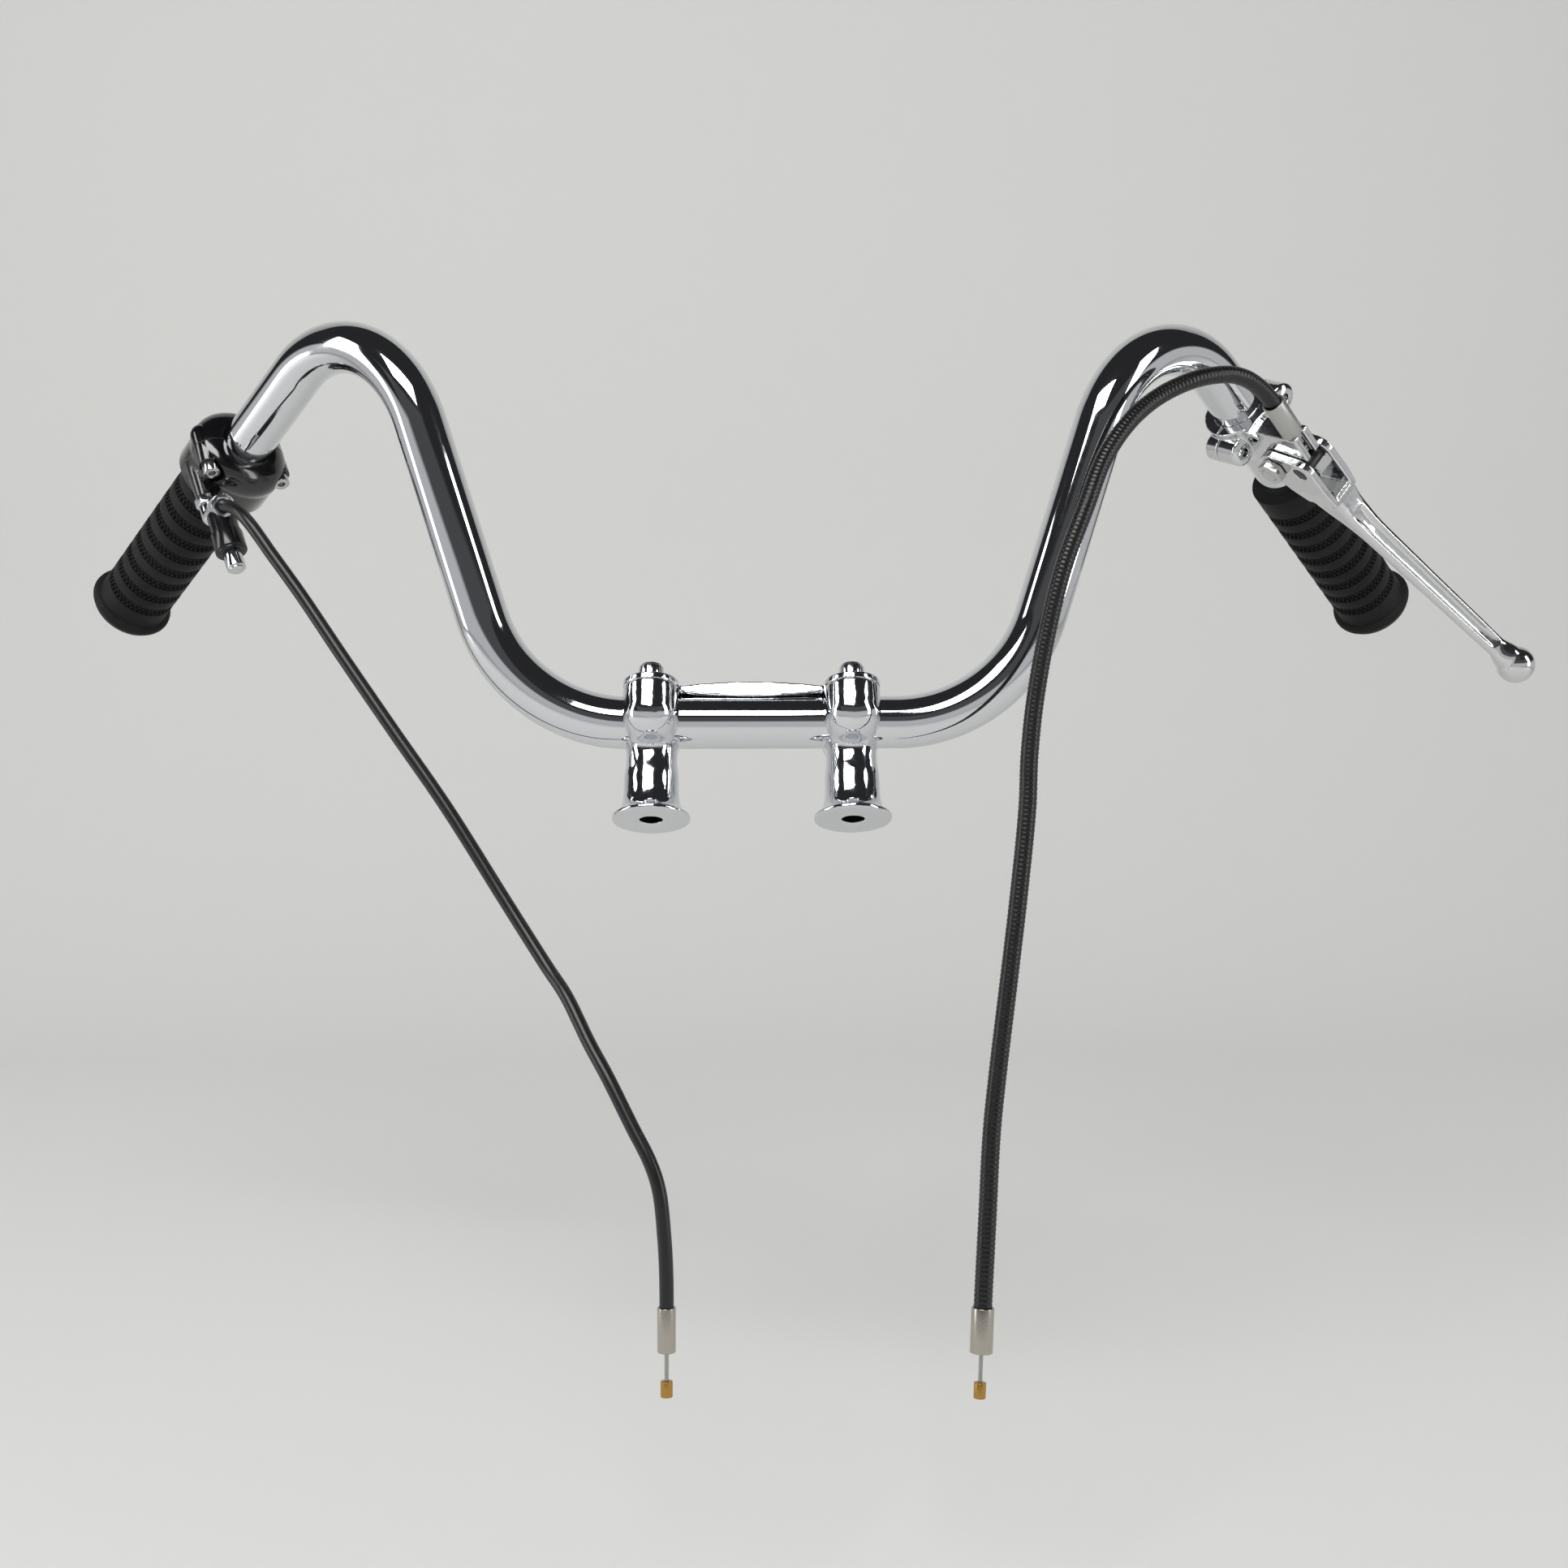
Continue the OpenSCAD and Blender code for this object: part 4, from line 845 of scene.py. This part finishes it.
def riserSweep(side):
    # how much of the long sweep each point takes: none in the holes, at the bar or on the foot
    v = riserForm
    toRiser = riserPlace(side).inverted()

    def ramp(value, start, end):
        return min(1.0, max(0.0, (value - start) / (end - start)))

    def share(point):
        x, y, z = toRiser @ point
        inBoltHole = hypot(x, abs(y) - v["boltAt"]) < v["holeReach"] and z > v["holeFloor"] - v["holeRim"]
        inFootHole = hypot(x, y) < v["footHole"][0] and z < v["footHole"][1]
        if inBoltHole or inFootHole:
            return 0.0
        return (ramp(hypot(y, z - v["barHeight"]), *v["clearOfBar"]) * ramp(z, *v["overFoot"])
                * (1 - ramp(z, *v["underArm"])) * (1 - ramp(abs(y), *v["armSide"])))
    return share


for nodeName, side in (("riser_left", -1), ("riser_right", 1)):
    castCopy(nodeName + "_cast", nodeName, *riserForm["cast"], riserShape(nodeName, side), riserSweep(side),
             riserForm["sweepTurns"])

# Lever bracket and top clamp, each as (voxel in mm, turns of smoothing, share of faces kept)
castings = {"clutch_perch": (0.42, 7, 0.5), "perch_clamp_cap": (0.4, 7, 0.6), "top_clamp": (0.45, 5, 0.4)}
for nodeName, cast in castings.items():
    castCopy(nodeName + "_cast", nodeName, *cast)

# Turned and pressed parts, each with the radius of its edges in mm
turnedEdges = {"clamp_bolts": 0.4, "clamp_washers": 0.15, "throttle_screws": 0.35, "throttle_cable_nut": 0.3,
               "throttle_elbow": 0.4, "elbow_sleeve": 0.4, "elbow_tip": 0.4, "perch_screws": 0.3,
               "lever_pivot_bolt": 0.4, "pivot_nut": 0.4, "clutch_cable_ferrule": 0.35,
               "throttle_cable_ferrule": 0.3, "clutch_end_ferrule": 0.3, "throttle_wire_nipple": 0.3,
               "clutch_wire_nipple": 0.3, "cable_anchor": 0.3, "lever_bushing": 0.2}
for nodeName, width in turnedEdges.items():
    softenedCopy(nodeName + "_soft", nodeName, width)

layCable("throttleCableSheath", "throttle_cable", throttleCable)
layCable("clutchCableSheath", "clutch_cable", clutchCable)

# Plain studio: pale floor that curves up into a backdrop, both well clear of the cables
studio = {"floor": -0.36, "back": 1.5, "front": -2.4, "half": 2.6, "top": 2.6, "bend": 0.6, "bendSteps": 12,
          "card": "#DADAD8", "room": "#C4C4C6", "ceiling": "#2C2C2E", "fill": 0.4,
          # where the room darkens, in parts of a direction: overhead, to both sides, in front, over the horizon
          "overhead": (0.16, 0.5), "aside": (0.45, 0.8), "ahead": (-0.2, -0.6), "aheadDark": 0.9,
          "horizon": (0.13, 0.2),
          # each lamp as (place, size, watts)
          "aim": (0, 0, 0.1),
          "lamps": {"keyBox": ((-0.5, -1.3, 1.7), (1.5, 0.8), 32), "sideBox": ((1.9, -0.7, 0.7), (0.5, 1.6), 12),
                    "otherSideBox": ((-1.9, -0.2, 0.5), (0.4, 1.6), 9)}}


def paleStage():
    bend = studio["bend"]
    profile = [(studio["front"], studio["floor"])]
    profile += [(studio["back"] - bend + y, studio["floor"] + bend + z)
                for y, z in arc((0, 0), bend, -90, 0, studio["bendSteps"])]
    profile.append((studio["back"], studio["top"]))
    points = [(x, y, z) for x in (-studio["half"], studio["half"]) for y, z in profile]
    count = len(profile)
    mesh = bpy.data.meshes.new("paleSweep")
    mesh.from_pydata(points, [], [(i, i + 1, count + i + 1, count + i) for i in range(count - 1)])
    for face in mesh.polygons:
        face.use_smooth = True
    mesh.materials.append(newMaterial("matPaintedCard", Base_Color=studio["card"], Roughness=0.9)[0])
    sweep = bpy.data.objects.new("paleSweep", mesh)
    scene.collection.objects.link(sweep)


def mathNode(tree, operation, *values):
    return addNode(tree, "ShaderNodeMath", settings={"operation": operation},
                   links=dict(enumerate(values))).outputs[0]


def studioWorld():
    # what the eye and the metal see: a pale room, darker overhead and high on both sides
    world = bpy.data.worlds.new("studioWorld")
    scene.world = world
    world.use_nodes = True
    tree = world.node_tree
    tree.nodes.clear()
    way = addNode(tree, "ShaderNodeTexCoord").outputs["Generated"]
    axes = addNode(tree, "ShaderNodeSeparateXYZ", links={"Vector": way}).outputs
    around = mathNode(tree, "MAXIMUM", mapped(tree, mathNode(tree, "ABSOLUTE", axes["X"]), *studio["aside"]),
                  mapped(tree, axes["Y"], *studio["ahead"], toHigh=studio["aheadDark"]))
    dark = mathNode(tree, "MAXIMUM", mapped(tree, axes["Z"], *studio["overhead"]),
                mathNode(tree, "MULTIPLY", around, mapped(tree, axes["Z"], *studio["horizon"])))
    room = addNode(tree, "ShaderNodeValToRGB", links={"Fac": dark})
    room.color_ramp.elements[0].color = linearColour(studio["room"])
    room.color_ramp.elements[1].color = linearColour(studio["ceiling"])
    seen = addNode(tree, "ShaderNodeBackground", links={"Color": room.outputs[0], "Strength": 1.0})
    light = addNode(tree, "ShaderNodeBackground", links={
        "Color": linearColour("#FFFFFF"), "Strength": studio["fill"]})
    # the same room for the eye, for mirrors and through clear parts; plain white fill for the rest
    ray = addNode(tree, "ShaderNodeLightPath").outputs
    looks = mathNode(tree, "MAXIMUM", mathNode(tree, "MAXIMUM", ray["Is Camera Ray"], ray["Is Glossy Ray"]),
                 ray["Is Transmission Ray"])
    mix = addNode(tree, "ShaderNodeMixShader", links={0: looks, 1: light.outputs[0], 2: seen.outputs[0]})
    addNode(tree, "ShaderNodeOutputWorld", links={"Surface": mix.outputs[0]})


def softBox(name, place, size, power):
    data = bpy.data.lights.new(name, "AREA")
    data.shape = "RECTANGLE"
    data.size, data.size_y = size
    data.energy = power
    lamp = bpy.data.objects.new(name, data)
    lamp.location = place
    lamp.rotation_euler = (Vector(studio["aim"]) - Vector(place)).to_track_quat("-Z", "Y").to_euler()
    scene.collection.objects.link(lamp)


paleStage()
studioWorld()
for lampName, lampSetting in studio["lamps"].items():
    softBox(lampName, *lampSetting)
scene.view_settings.view_transform = "Standard"
print("studio lit")
